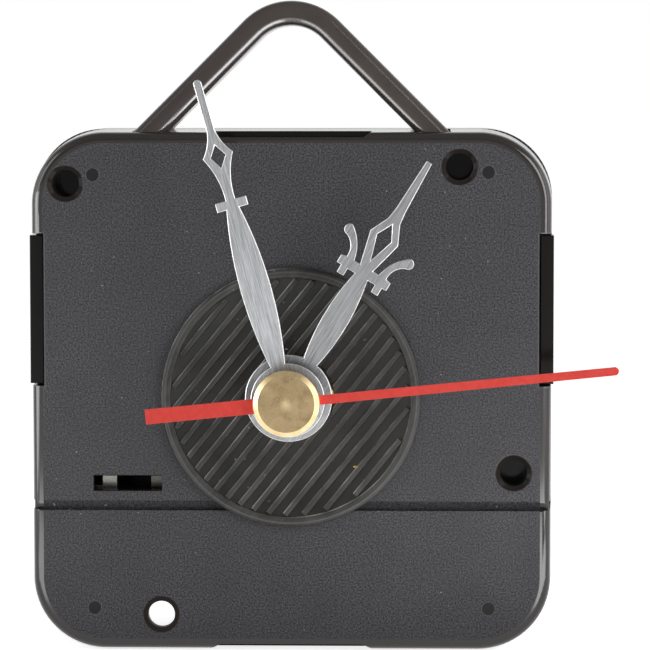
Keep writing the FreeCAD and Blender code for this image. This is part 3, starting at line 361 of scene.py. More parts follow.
def blackPlastic(name, color, roughness, edge):
    # Polished black moulding with soft edges
    finish = finishKit(name, color, roughness, specular=0.4)
    dark, light = (tuple(value * shade for value in color) for shade in (0.75, 1.25))
    flowMarks(finish, dark, light, roughness, edge)
    return finish.material


loopLook = {
    "plastic": (0.068, 0.057, 0.052),
    "dark": (0.052, 0.043, 0.039),
    "rough": 0.16,
    "innerSpecular": 1.0,
    "outerSpecular": 0.2,
}


def loopPlastic(look):
    # Smooth black loop, glossier in its inner rounding than outside
    finish = finishKit("hangerPlastic", look["plastic"], look["rough"])
    flowMarks(finish, look["dark"], look["plastic"], look["rough"])
    gloss = finish.step(finish.facing()[2], -0.2, -0.04, look["innerSpecular"], look["outerSpecular"])
    finish.give("Specular IOR Level", gloss)
    return finish.material


rearLook = {
    "dark": (0.018, 0.0175, 0.019),
    "light": (0.085, 0.083, 0.088),
    "grain": 0.00026,
    "grainDepth": 0.00005,
    "backRough": 0.5,
    "backDepth": 0.0158,   # the texture starts at this depth
    "side": (0.0160, 0.0135, 0.0125),
    "sideRough": 0.14,
    "sideSpecular": 0.4,
    # painted shade on the arm tips that show in the front recesses
    "armTipPaintedShade": (0.0050, 0.0040, 0.0034),
    "tipSpecular": 0.15,
    "tipDepth": 0.0023,
    "edgeRound": 0.00015,
}


def rearFace(look):
    # Fine texture on the back, polished sides, and dull tips on the arms, whose much darker colour is painted
    # shade for the recesses they sit in
    finish = finishKit("rearPlastic", look["side"], 0.3)
    place = finish.place()
    y = finish.split(place)[1]
    faceY = finish.facing("True Normal")[1]
    flat = finish.times(finish.over(faceY, 0.97), finish.over(y, look["backDepth"]))
    # Painted shade: the arm tips facing forwards near the front take a much darker colour
    tip = finish.times(finish.under(y, look["tipDepth"]), finish.under(faceY, -0.3))
    fine = finish.noise(place, look["grain"], 2.5, 0.7)
    broad = finish.noise(place, 0.006)
    grain = finish.ramp(fine, (0.34, look["dark"]), (0.68, look["light"]))
    finish.color(finish.mix(flat, finish.mix(tip, look["side"], look["armTipPaintedShade"]), grain))
    drop = finish.times(tip, look["sideSpecular"] - look["tipSpecular"])
    finish.give("Specular IOR Level", finish.minus(look["sideSpecular"], drop))
    shine = finish.times(flat, look["backRough"] - look["sideRough"])
    finish.give("Roughness", finish.plus(shine, finish.varied(broad, 0.08, look["sideRough"])))
    finish.relief(finish.times(fine, flat), 0.5, look["grainDepth"], look["edgeRound"])
    return finish.material


washer = {
    "radius": 13.95 * mm,
    "hole": 4.68 * mm,
    "drop": 0.53 * mm,
    "web": 0.6 * mm,
    "thickness": 1.0 * mm,
    "rim": 1.0 * mm,
    "ribPitch": 1.5 * mm,
    "ribWidth": 0.64 * mm,
    "ribTop": 0.46 * mm,
    "ribHeight": 0.3 * mm,
    "ribAngle": 51.0,
    "round": 0.16 * mm,
    "ribGap": 0.05 * mm,
    "holeGap": 0.02 * mm,
    "segments": 160,
    "holeSegments": 64,
    "smooth": 30,
}

washerLook = {
    "channel": (0.0150, 0.0145, 0.0135),
    "rib": (0.024, 0.0235, 0.0225),
    "worn": (0.068, 0.067, 0.065),
    "rubbed": (0.20, 0.197, 0.19),
    # colour of the painted highlight on rib flanks that face up and to the left
    "edge": (0.62, 0.61, 0.59),
    "dust": (0.42, 0.41, 0.38),
    "dustSize": 0.0005,
    "dustShare": 0.8,
    "dustFade": (0.765, 0.80),
    "crumb": (0.62, 0.40, 0.12),
    "crumbPlace": (0.00695, 0.0, -0.0080),
    "crumbHalf": (0.00027, 1.0, 0.00011),
    "webDepth": -0.00068,
    "specular": 0.2,
    "streak": 0.0004,
    "streakLength": 9,
    "cloud": 0.003,
    "edgeWidth": 0.00006,
    "rimLines": 3800,
    "rimShare": 0.3,
}


def dustyRubber(look):
    # Dark channels, paler tops that are rubbed along their edges, a painted highlight on the rib flanks that
    # face up and to the left, and specks of dust
    finish = finishKit("washerRubber", look["rib"], 0.5, specular=look["specular"])
    place = finish.place()
    along = finish.place(turn=(0, -washer["ribAngle"], 0), stretch=(look["streakLength"], 1, 1))
    streak = finish.noise(along, look["streak"], 3.0, 0.6)
    broad = finish.noise(place, look["cloud"])
    tops = finish.ramp(finish.times(streak, broad), (0.14, look["rib"]), (0.5, look["worn"]))
    top = finish.under(finish.split(place)[1], look["webDepth"])
    base = finish.mix(top, look["channel"], tops)
    sharp = finish.edges(look["edgeWidth"], 0.05, 0.3)
    rubbed = finish.times(sharp, finish.step(broad, 0.35, 0.6, 0.15, 0.8))
    rubbedTops = finish.mix(finish.times(rubbed, top), base, look["rubbed"])

    # Painted highlight: rib flanks facing up and to the left take the pale edge colour, made uneven by noise
    faceX, faceZ = finish.facing("True Normal")[::2]
    angle = math.radians(washer["ribAngle"])
    upper = finish.plus(finish.times(faceX, -math.sin(angle)), finish.times(faceZ, math.cos(angle)))
    uneven = finish.times(finish.step(streak, 0.35, 0.6, 0.25, 1.0), finish.step(broad, 0.3, 0.65, 0.35, 1.0))
    paintedHighlightFlanks = finish.mix(finish.times(finish.step(upper, 0.5, 0.85), uneven), rubbedTops, look["edge"])
    reach, rings = finish.turning((0, 0, -washer["drop"]), look["rimLines"], 2.0)
    onRim = finish.over(reach, washer["radius"] - washer["rim"])
    lines = finish.times(finish.step(rings, 0.5, 0.68), finish.times(onRim, look["rimShare"]))
    lined = finish.mix(lines, paintedHighlightFlanks, look["rubbed"])

    specks = finish.step(finish.noise(place, look["dustSize"], 1.0), *look["dustFade"])
    dusty = finish.mix(finish.times(specks, look["dustShare"]), lined, look["dust"])
    crumb = finish.length(finish.place(stretch=look["crumbHalf"], centre=look["crumbPlace"]))
    finish.color(finish.mix(finish.under(crumb, 1.0), dusty, look["crumb"]))
    finish.give("Roughness", finish.ramp(broad, (0.3, 0.34), (0.7, 0.52)))
    finish.relief(streak, 0.2, 0.00004)
    return finish.material


handLook = {
    "metal": (0.485, 0.49, 0.50),
    "scratch": (0.205, 0.21, 0.22),
    "edge": (0.72, 0.72, 0.71),
    "rough": 0.34,
    "spread": 0.2,
    "line": 0.00011,
    "lineLength": 40,
    "crossLine": 0.00016,
    "crossLength": 25,
    "crossTurn": 8,
    "crossShare": 0.28,
    "cloud": 0.0018,
    "cloudShade": 0.3,
    "burr": 0.0004,
    "minuteAngle": 15.8,   # degrees from upright, as the solids stand at rest
    "hourAngle": -30.8,
    # the hour hand is a darker copy of the same aluminium: painted shade
    "minuteShade": 1.0,
    "hourShade": 0.70,
}


def brushedAluminium(hand, look):
    # Brushed along the hand, with bright sheared edges; a shade factor scales the colours, and on the hour
    # hand it is painted shade
    # Painted shade: the hand's shade factor darkens its metal and scratch colours
    angle, shade = look[hand + "Angle"], look[hand + "Shade"]
    metal, scratch = (tuple(value * shade for value in look[kind]) for kind in ("metal", "scratch"))
    finish = finishKit(hand + "HandMetal", metal, look["rough"], metallic=1.0)
    place = finish.place()
    along = finish.place(turn=(0, -angle, 0), stretch=(1, 1, look["lineLength"]))
    askew = finish.place(turn=(0, look["crossTurn"] - angle, 0), stretch=(1, 1, look["crossLength"]))
    lines = finish.noise(along, look["line"], 4.0, 0.75)
    across = finish.noise(askew, look["crossLine"], 2.0, 0.6)
    cloud = finish.noise(place, look["cloud"])
    blend = finish.plus(finish.times(lines, 1 - look["crossShare"]), finish.times(across, look["crossShare"]))
    color = finish.ramp(blend, (0.36, scratch), (0.62, metal))
    dull = finish.mix(finish.times(finish.step(cloud, 0.35, 0.65), look["cloudShade"]), color, scratch)
    side = finish.step(finish.facing()[1], -0.99, -0.90)
    burr = finish.times(side, finish.step(finish.noise(place, look["burr"], 2.0), 0.3, 0.6, 0.6, 1.0))
    finish.color(finish.mix(burr, dull, look["edge"]))
    finish.rough(cloud, look["spread"], look["rough"])
    finish.relief(lines, 0.35, 0.00002)
    return finish.material


brassLook = {
    # the flat front's colours are painted far darker than the brass: painted shade, smudged with tarnish
    "face": (0.225, 0.162, 0.086),
    "facePale": (0.305, 0.228, 0.127),
    "side": (0.72, 0.53, 0.26),
    "sidePale": (0.88, 0.70, 0.42),
    "thread": (0.50, 0.36, 0.15),
    "threadPale": (0.72, 0.55, 0.27),
    "rough": 0.3,
    "rings": 9000,
    "cloud": 0.0011,
    "smudge": 0.00025,
    "spread": 0.16,
    "faceSpread": 0.26,
    "centre": 0.0009,   # the paler spot in the middle of the cap
}


def turnedBrass(name, low, high, look, face=None):
    # Brass with fine turning rings about the shaft, darker and duller on its flat front where it has one:
    # painted shade with tarnish smudges
    finish = finishKit(name, high, look["rough"], metallic=1.0)
    place = finish.place()
    reach, rings = finish.turning((0, 0, 0), look["rings"], 3.0)
    cloud = finish.noise(place, look["cloud"], 5.0, 0.65)
    color = finish.ramp(cloud, (0.3, low), (0.72, high))
    spread = look["spread"]
    if face is not None:
        fine = finish.noise(place, look["smudge"], 3.0, 0.6)
        smudge = finish.plus(finish.times(cloud, 0.6), finish.times(fine, 0.3))
        smudge = finish.plus(smudge, finish.times(rings, 0.1))
        # Painted shade on the flat front, smudged with tarnish
        tarnishAndPaintedShade = finish.ramp(smudge, (0.38, face[0]), (0.62, face[1]))
        tarnishAndPaintedShade = finish.mix(finish.step(reach, 0.0, look["centre"], 0.35, 0.0), tarnishAndPaintedShade, high)
        front = finish.step(finish.facing()[1], -0.985, -0.93, 1.0, 0.0)
        color = finish.mix(front, color, tarnishAndPaintedShade)
        spread = look["faceSpread"]
    finish.color(color)
    finish.rough(cloud, spread, look["rough"])
    finish.relief(rings, 0.15, 0.00001)
    return finish.material


redLook = {
    "paint": (0.590, 0.044, 0.034),
    "pale": (0.66, 0.062, 0.050),
    "edge": (0.80, 0.16, 0.14),
    "edgeWidth": 0.00008,
    "edgeShare": 0.6,
    "edgeRound": 0.00005,
    "cloud": 0.0005,
    "rough": 0.42,
    "spread": 0.12,
    "specular": 0.12,
}


def redPaint(look):
    finish = finishKit("redPaint", look["paint"], look["rough"], specular=look["specular"])
    fine = finish.noise(finish.place(), look["cloud"])
    paint = finish.ramp(fine, (0.3, look["paint"]), (0.75, look["pale"]))
    worn = finish.times(finish.edges(look["edgeWidth"]), look["edgeShare"])
    finish.color(finish.mix(worn, paint, look["edge"]))
    finish.rough(fine, look["spread"], look["rough"])
    finish.relief(fine, 0.08, 0.00002, look["edgeRound"])
    return finish.material


metalCloud = {
    "metallic": 1.0,
    "size": 0.0006,
    "detail": 4.0,
    "grain": 0.6,
    "shade": 0.7,
    "spread": 0.2,
    "bump": 0.1,
    "depth": 0.00002,
    "edgeRound": 0.00004,
}
plasticCloud = {
    "metallic": 0.0,
    "size": 0.0015,
    "detail": 3.0,
    "grain": 0.5,
    "shade": 0.85,
    "spread": 0.14,
    "bump": 0.08,
    "depth": 0.00003,
    "edgeRound": 0.00005,
}


def clouded(name, color, roughness, look):
    # Faint clouds of a darker shade, which also vary the gloss, and soft edges
    finish = finishKit(name, color, roughness, metallic=look["metallic"])
    cloud = finish.noise(finish.place(), look["size"], look["detail"], look["grain"])
    finish.color(finish.ramp(cloud, (0.3, tuple(value * look["shade"] for value in color)), (0.7, color)))
    finish.rough(cloud, look["spread"], roughness)
    finish.relief(cloud, look["bump"], look["depth"], look["edgeRound"])
    return finish.material


boardLook = {
    "board": (0.03, 0.16, 0.07),
    "between": (0.025, 0.13, 0.055),
    "block": (0.035, 0.17, 0.075),
    "track": (0.08, 0.34, 0.15),
    "rough": 0.355,
    "tracks": 160,
    "trackWidth": 0.06,
}


def boardLaminate(look):
    # Green board with paler tracks in rows and blocks
    finish = finishKit("boardLaminate", look["board"], look["rough"])
    tracks = finish.node("ShaderNodeTexBrick", {
        "Vector": finish.place(turn=(90, 0, 0)), "Scale": look["tracks"], "Mortar Size": look["trackWidth"],
        "Color1": look["between"], "Color2": look["block"], "Mortar": look["track"],
    }, offset=0.37, squash=1.3).outputs
    finish.color(tracks["Color"])
    finish.rough(finish.noise(finish.place(), 0.001, 2.0), 0.15, look["rough"])
    finish.relief(tracks["Fac"], 0.2, 0.00003)
    return finish.material


wireLook = {
    "dark": (0.16, 0.04, 0.012),
    "copper": (0.5, 0.16, 0.05),
    "rough": 0.325,
    "metallic": 0.8,
    "waves": 1600,
}


def copperWire(look):
    finish = finishKit("copperWire", look["copper"], look["rough"], metallic=look["metallic"])
    place = finish.place()
    wave = finish.node("ShaderNodeTexWave", {"Vector": place, "Scale": look["waves"], "Distortion": 0.4},
                       bands_direction="X").outputs["Fac"]
    finish.color(finish.ramp(wave, (0.1, look["dark"]), (0.6, look["copper"])))
    finish.rough(finish.noise(place, 0.001, 2.0), 0.15, look["rough"])
    finish.relief(wave, 0.5, 0.00006)
    return finish.material


# Material, colour and roughness, and how far the black mouldings' edges are rounded
metalLook = {
    "stator": ("statorIron", (0.42, 0.42, 0.44), 0.4),
    "coil_core": ("coreIron", (0.42, 0.42, 0.44), 0.4),
    "quartz_crystal": ("crystalCan", (0.62, 0.62, 0.62), 0.25),
    # The contact strips are painted dark for the shade inside the slot, the positive one darker still:
    # painted shade
    "negative_contact": ("negativeNickel", (0.155, 0.15, 0.137), 0.26),
    "positive_contact": ("positiveNickel", (0.062, 0.060, 0.053), 0.26),
    "rotor_magnet": ("magnetFerrite", (0.10, 0.10, 0.11), 0.5),
}
blackLook = {
    "middle_plate": ("platePlastic", (0.05, 0.05, 0.055), 0.45, 0.0001),
    "chip_cover": ("chipResin", (0.02, 0.02, 0.02), 0.35, 0.0001),
    "setting_knob": ("knobPlastic", (0.014, 0.0135, 0.014), 0.34, 0.00012),
}

steel = clouded("wornSteel", (0.55, 0.55, 0.56), 0.32, metalCloud)
whitePlastic = clouded("wheelPlastic", (0.74, 0.72, 0.65), 0.45, plasticCloud)
finishes = {
    "front_case": mouldedFace(caseLook),
    "rear_case": rearFace(rearLook),
    "hanger": loopPlastic(loopLook),
    "hour_hand": brushedAluminium("hour", handLook),
    "minute_hand": brushedAluminium("minute", handLook),
    "second_hand": redPaint(redLook),
    "second_hand_cap": turnedBrass("capBrass", brassLook["side"], brassLook["sidePale"], brassLook,
                                   (brassLook["face"], brassLook["facePale"])),
    "circuit_board": boardLaminate(boardLook),
    "coil_bobbin": clouded("bobbinPlastic", (0.66, 0.64, 0.58), 0.45, plasticCloud),
    "seconds_arbor": steel,
    "minute_pipe": steel,
    "setting_stem": whitePlastic,
}
for node, values in metalLook.items():
    finishes[node] = clouded(*values, metalCloud)
for node, values in blackLook.items():
    finishes[node] = blackPlastic(*values)
for wheel in ("rotor_pinion", "intermediate_wheel", "seconds_wheel", "third_wheel",
              "minute_drive_wheel", "motion_wheel", "hour_wheel"):
    finishes[wheel] = whitePlastic
for node, material in finishes.items():
    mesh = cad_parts[node].data
    mesh.materials.clear()
    mesh.materials.append(material)
print("finishes on the solids: done")


# Mesh helpers

def newObject(name, data):
    made = bpy.data.objects.new(name, data)
    bpy.context.scene.collection.objects.link(made)
    return made


def builtPiece(name, build, material=None):
    # Piece from a bmesh, of one material
    mesh = bpy.data.meshes.new(name)
    build.to_mesh(mesh)
    build.free()
    if material is not None:
        mesh.materials.append(material)
    return newObject(name, mesh)


def evaluatedMesh(piece):
    # The piece's mesh with its modifiers carried out
    bpy.context.view_layer.update()
    evaluated = piece.evaluated_get(bpy.context.evaluated_depsgraph_get())
    return bpy.data.meshes.new_from_object(evaluated)


def applyModifiers(piece):
    mesh = evaluatedMesh(piece)
    piece.modifiers.clear()
    piece.data = mesh


def smoothShade(piece, angle):
    mesh = piece.data
    mesh.polygons.foreach_set("use_smooth", [True] * len(mesh.polygons))
    mesh.set_sharp_from_angle(angle=math.radians(angle))


def smoothedCopy(node, name, shape, chosen, reshape):
    # Copy of a solid whose small flats shade into each other; chosen edges are rounded
    build = bmesh.new()
    build.from_mesh(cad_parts[node].data)
    bmesh.ops.remove_doubles(build, verts=build.verts, dist=1e-7)
    bmesh.ops.dissolve_limit(build, angle_limit=math.radians(0.4), verts=build.verts, edges=build.edges)
    if reshape is not None:
        reshape(build)
    if chosen is not None:
        edges = [edge for edge in build.edges if len(edge.link_faces) == 2 and chosen(edge)]
        bmesh.ops.bevel(build, geom=edges, offset=shape["edge"], offset_type="OFFSET", profile=0.5,
                        segments=shape["steps"], affect="EDGES", clamp_overlap=False)
    bmesh.ops.recalc_face_normals(build, faces=build.faces)

    mesh = bpy.data.meshes.new(name)   # a fresh mesh, so that no old normals stay in it
    places = [vertex.co.copy() for vertex in build.verts]
    for index, vertex in enumerate(build.verts):
        vertex.index = index
    mesh.from_pydata(places, [], [[vertex.index for vertex in face.verts] for face in build.faces])
    build.free()
    mesh.materials.append(finishes[node])
    piece = newObject(name, mesh)
    smoothShade(piece, shape["smooth"])
    weighted = piece.modifiers.new("weighted", "WEIGHTED_NORMAL")
    weighted.mode = "FACE_AREA"
    weighted.weight = 100
    weighted.keep_sharp = True
    applyModifiers(piece)
    return piece


def dress(piece, body, node):
    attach(piece, body)
    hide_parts(node)


# Shells, loop and hands: copies of the solids with rounded edges

close = 0.02 * mm   # a vertex this near to a place counts as on it
shellShape = {
    "half": 28.0 * mm,
    "corner": 7.8 * mm,
    "rim": 1.1 * mm,
    "depth": 7.1 * mm,
    "flare": 0.27 * mm,
    "edge": 0.11 * mm,
    "steps": 2,
    "sharp": 50,
    "smooth": 32,
}


def leaningSides(build):
    # The side walls lean outwards towards the back, to just inside the edge of the rear shell
    straight = shellShape["half"] - shellShape["corner"]
    for vertex in build.verts:
        beyond = [max(abs(value) - straight, 0.0) for value in (vertex.co.x, vertex.co.z)]
        if math.hypot(*beyond) < shellShape["corner"] - close:
            continue
        share = (vertex.co.y - shellShape["rim"]) / (shellShape["depth"] - shellShape["rim"])
        for axis in (0, 2):
            if abs(vertex.co[axis]) > straight - close / 2:
                vertex.co[axis] += math.copysign(max(share, 0.0) * shellShape["flare"], vertex.co[axis])


armFront = {
    "inner": 27.48 * mm,
    "tip": 27.98 * mm,
    "wide": 26.88 * mm,
    "low": 2.05 * mm,
}


def broadArms(build):
    # The latch arms fill their recesses up to a narrow gap, as far as they show from the front
    for vertex in build.verts:
        reach = abs(vertex.co.x)
        if vertex.co.y > armFront["low"]:
            continue
        if min(abs(reach - armFront["inner"]), abs(reach - armFront["tip"])) < close:
            vertex.co.x = math.copysign(armFront["wide"], vertex.co.x)


def frontEdge(edge):
    # Sharp edge in the flat front of the case
    flat = all(abs(vertex.co.y) < close for vertex in edge.verts)
    return flat and edge.calc_face_angle(0) > math.radians(shellShape["sharp"])


handShape = {"edge": 0.07 * mm, "steps": 1, "sharp": 60, "smooth": 35}


def handEdge(edge):
    # Sharp edge round the front face of a hand
    faces = [face.normal.y < -0.99 for face in edge.link_faces]
    return any(faces) and not all(faces) and edge.calc_face_angle(0) > math.radians(handShape["sharp"])


copies = (
    ("front_case", "caseShell", "movement", "case_plastic", shellShape, frontEdge, leaningSides),
    ("rear_case", "rearShell", "movement", "rear_plastic", shellShape, None, broadArms),
    ("hanger", "hangingLoop", "movement", "hanger_plastic", shellShape, None, None),
    ("hour_hand", "hourHand", "hours", "hand_aluminium", handShape, handEdge, None),
    ("minute_hand", "minuteHand", "minutes", "hand_aluminium", handShape, handEdge, None),
)
for node, name, body, slot, shape, chosen, reshape in copies:
    dress(smoothedCopy(node, name, shape, chosen, reshape), body, node)
print("shells, loop and hands: done")


# Geometry Nodes

class treeKit(nodeKit):
    # One Geometry Nodes tree with named sizes, which ends as a plain mesh

    def __init__(self, name, sizes):
        super().__init__(bpy.data.node_groups.new(name, "GeometryNodeTree"))
        self.name = name
        self.sizes = sizes
        for label in sizes:
            self.tree.interface.new_socket(label, in_out="INPUT", socket_type="NodeSocketFloat")
        self.tree.interface.new_socket("Mesh", in_out="OUTPUT", socket_type="NodeSocketGeometry")
        self.given = self.node("NodeGroupInput").outputs

    def row(self, count, begin, step):
        # Points in a straight row
        return self.node("GeometryNodeMeshLine", {"Count": count, "Start Location": begin, "Offset": step},
                         mode="OFFSET", count_mode="TOTAL").outputs[0]

    def laid(self, points, shape, scale=(1, 1, 1)):
        # The same shape on every point
        return self.node("GeometryNodeInstanceOnPoints", {
            "Points": points, "Instance": shape, "Scale": scale,
        }).outputs[0]

    def swept(self, path, section, caps=False):
        return self.node("GeometryNodeCurveToMesh", {
            "Curve": path, "Profile Curve": section, "Fill Caps": caps,
        }).outputs[0]

    def piece(self, geometry, material):
        # Evaluate the tree once with its sizes and keep only the mesh
        real = self.node("GeometryNodeRealizeInstances", {"Geometry": geometry})
        dressed = self.node("GeometryNodeSetMaterial", {"Geometry": real.outputs[0], "Material": material})
        self.node("NodeGroupOutput", {0: dressed.outputs[0]})
        holder = newObject("holder", bpy.data.meshes.new("holder"))
        modifier = holder.modifiers.new("nodes", "NODES")
        modifier.node_group = self.tree
        for item in self.tree.interface.items_tree:
            if item.in_out == "INPUT":
                modifier[item.identifier] = self.sizes[item.name]
        mesh = evaluatedMesh(holder)
        bpy.data.objects.remove(holder)
        return newObject(self.name, mesh)


def ringPiece(name, profile, segments, centre=(0, 0), material=None, shape=None):
    # Closed ring turned from a profile of radius and depth about an axis along Y, round or of another shape
    build = bmesh.new()
    rings = []
    for index in range(segments):
        turn = 2 * math.pi * index / segments
        ring = []
        for radius, depth in profile:
            reach = shape(radius, turn) if shape else radius
            place = (centre[0] + reach * math.sin(turn), depth, centre[1] + reach * math.cos(turn))
            ring.append(build.verts.new(place))
        rings.append(ring)
    for index, ring in enumerate(rings):
        following = rings[(index + 1) % segments]
        for corner in range(len(profile)):
            other = (corner + 1) % len(profile)
            build.faces.new((ring[corner], ring[other], following[other], following[corner]))
    bmesh.ops.remove_doubles(build, verts=build.verts, dist=1e-7)   # where the profile meets the axis
    bmesh.ops.dissolve_degenerate(build, edges=build.edges, dist=1e-7)
    bmesh.ops.recalc_face_normals(build, faces=build.faces)
    return builtPiece(name, build, material)


def joined(pieces, name, material):
    # One mesh of one material from several
    build = bmesh.new()
    for piece in pieces:
        build.from_mesh(piece.data)
        bpy.data.objects.remove(piece)
    for face in build.faces:
        face.material_index = 0
    return builtPiece(name, build, material)


def cutHole(piece, centre, radius, front, back, segments):
    # Round hole through a mesh
    profile = ((0.0, front), (radius, front), (radius, back), (0.0, back))
    cutter = ringPiece("cutter", profile, segments, centre)
    modifier = piece.modifiers.new("hole", "BOOLEAN")
    modifier.operation = "DIFFERENCE"
    modifier.object = cutter
    modifier.solver = "EXACT"
    applyModifiers(piece)
    bpy.data.objects.remove(cutter)


# Washer: a turned disc, and ribs that Geometry Nodes set out inside its rim

def washerDisc(material):
    low, web = -washer["thickness"], -washer["web"]
    edge = washer["round"]
    bent = edge * 0.3   # middle point of a rounded edge
    hole, outer = washer["hole"], washer["radius"]
    inner = outer - washer["rim"]
    profile = ((hole, 0.0), (hole, web + edge / 2), (hole + edge / 2, web), (inner - edge, web),
               (inner - bent, web - bent), (inner, web - edge), (inner + bent, low + bent),
               (inner + edge, low), (outer - edge, low), (outer - bent, low + bent),
               (outer, low + edge), (outer, 0.0))
    return ringPiece("washerDisc", profile, washer["segments"], (0, -washer["drop"]), material)


def washerRibs(material):
    # Ribs laid along X at an even pitch, cut to the round field
    tree = treeKit("washerRibs", {
        "Field": washer["radius"] - washer["rim"] - washer["ribGap"],
        "Pitch": washer["ribPitch"],
        "Width": washer["ribWidth"],
        "Top": washer["ribTop"],
        "Height": washer["ribHeight"],
    })
    field, pitch, width, top, height = [tree.given[label] for label in tree.sizes]
    count = tree.math("FLOOR", tree.math("DIVIDE", field, pitch))
    total = tree.plus(tree.times(count, 2.0), 1.0)
    begin = tree.combine(0, 0, tree.times(tree.times(count, -1.0), pitch))
    line = tree.row(total, begin, tree.combine(0, 0, pitch))

    bar = tree.node("GeometryNodeMeshCube", {
        "Vertices X": 2, "Vertices Y": 2, "Vertices Z": 2, "Size": tree.combine(1.0, height, width),
    })
    x, y, z = tree.split(tree.node("GeometryNodeInputPosition").outputs[0])
    front = tree.under(y, 0.0)
    narrow = tree.math("DIVIDE", top, width)
    share = tree.plus(tree.times(front, tree.minus(narrow, 1.0)), 1.0)
    ridge = tree.node("GeometryNodeSetPosition", {
        "Geometry": bar.outputs["Mesh"], "Position": tree.combine(x, y, tree.times(z, share)),
    })

    spot = tree.split(tree.node("GeometryNodeInputPosition").outputs[0])[2]
    off = tree.plus(tree.unsigned(spot), tree.times(width, 0.5))
    half = tree.math("SQRT", tree.minus(tree.times(field, field), tree.times(off, off)))
    laid = tree.laid(line, ridge.outputs[0], tree.combine(tree.times(half, 2.0), 1.0, 1.0))
    ribs = tree.piece(laid, material)
    turn = Matrix.Rotation(math.radians(-washer["ribAngle"]), 4, "Y")
    shift = Matrix.Translation((0, -washer["web"] - washer["ribHeight"] / 2, -washer["drop"]))
    ribs.data.transform(shift @ turn)
    return ribs


rubber = dustyRubber(washerLook)
ribs = washerRibs(rubber)
cutHole(ribs, (0, -washer["drop"]), washer["hole"] + washer["holeGap"],
        -2 * washer["thickness"], washer["thickness"], washer["holeSegments"])
washerPiece = joined([washerDisc(rubber), ribs], "ribbedWasher", rubber)
smoothShade(washerPiece, washer["smooth"])
dress(washerPiece, "movement", "rubber_washer")
print("washer: done")


# Bush: Geometry Nodes sweep the thread's ridge along a helix

bush = {
    "radius": 3.95 * mm,
    "bore": 2.55 * mm,
    "length": 6.0 * mm,
    "shank": 1.0 * mm,
    "shankRadius": 4.12 * mm,
    "wall": 1.4 * mm,
    "flange": 0.5 * mm,
    "flangeRadius": 5.2 * mm,
    "seatRadius": 4.6 * mm,
    "pitch": 0.75 * mm,
    "threadDepth": 0.42 * mm,
    "threadStart": 0.15 * mm,
    "nose": 0.35 * mm,
    "segments": 96,
    "flatSegments": 72,
    "threadSegments": 48,
    "smooth": 40,
}
bush["root"] = bush["radius"] - bush["threadDepth"]


def bushThread(material):
    turns = (bush["length"] - bush["shank"] - 2 * bush["threadStart"] - bush["pitch"]) / bush["pitch"]
    tree = treeKit("bushThread", {
        "Turns": turns, "Pitch": bush["pitch"], "Root": bush["root"], "Depth": bush["threadDepth"],
    })
    given = tree.given
    helix = tree.node("GeometryNodeCurveSpiral", {
        "Resolution": bush["threadSegments"], "Rotations": given["Turns"], "Start Radius": given["Root"],
        "End Radius": given["Root"], "Height": tree.times(given["Turns"], given["Pitch"]),
    })
    ridge = tree.node("GeometryNodeCurvePrimitiveCircle", {"Resolution": 3, "Radius": given["Depth"]})
    piece = tree.piece(tree.swept(helix.outputs[0], ridge.outputs[0], True), material)
    piece.data.transform(Matrix.Rotation(math.radians(90), 4, "X"))
    front = min(vertex.co.y for vertex in piece.data.vertices)
    piece.data.transform(Matrix.Translation((0, bush["threadStart"] - bush["length"] - front, 0)))
    return piece


def bushBody(material):
    front, back, step = -bush["length"], bush["wall"], -bush["shank"]
    bore, root, shank, nose = bush["bore"], bush["root"], bush["shankRadius"], bush["nose"]
    profile = ((bore, front), (root - nose, front), (root, front + nose), (root, step),
               (shank, step), (shank, back), (bore, back))
    return ringPiece("bushBody", profile, bush["segments"], material=material)


def sixFlats(radius, turn):
    # How far a plate with six flats reaches; its bore stays round
    if radius <= bush["bore"]:
        return radius
    sector = math.pi / 3
    return radius * math.cos(sector / 2) / math.cos((turn - sector / 2) % sector - sector / 2)


def hexagonPlate(name, radius, front, back, material):
    profile = ((bush["bore"], front), (radius, front), (radius, back), (bush["bore"], back))
    return ringPiece(name, profile, bush["flatSegments"], material=material, shape=sixFlats)


bushBrass = turnedBrass("bushBrass", brassLook["thread"], brassLook["threadPale"], brassLook)
flangeBack = bush["wall"] + bush["flange"]
bushPiece = joined([
    bushBody(bushBrass),
    bushThread(bushBrass),
    hexagonPlate("bushSeat", bush["seatRadius"], 0.0, bush["wall"], bushBrass),
    hexagonPlate("bushFlange", bush["flangeRadius"], bush["wall"], flangeBack, bushBrass),
], "threadedBush", bushBrass)
smoothShade(bushPiece, bush["smooth"])
dress(bushPiece, "movement", "threaded_bush")
print("bush: done")


# Coil winding: Geometry Nodes lay turns of wire side by side, over a slimmer copy of the solid

coil = {
    "wire": 0.16 * mm,
    "corner": 0.9 * mm,
    "sunk": 1.2,   # how many wires thinner the copy is than the winding
    "cornerSteps": 3,
    "wireSides": 6,
    "smooth": 60,
}
coilLow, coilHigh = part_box("coil_winding")
coilMiddle = (coilLow + coilHigh) / 2


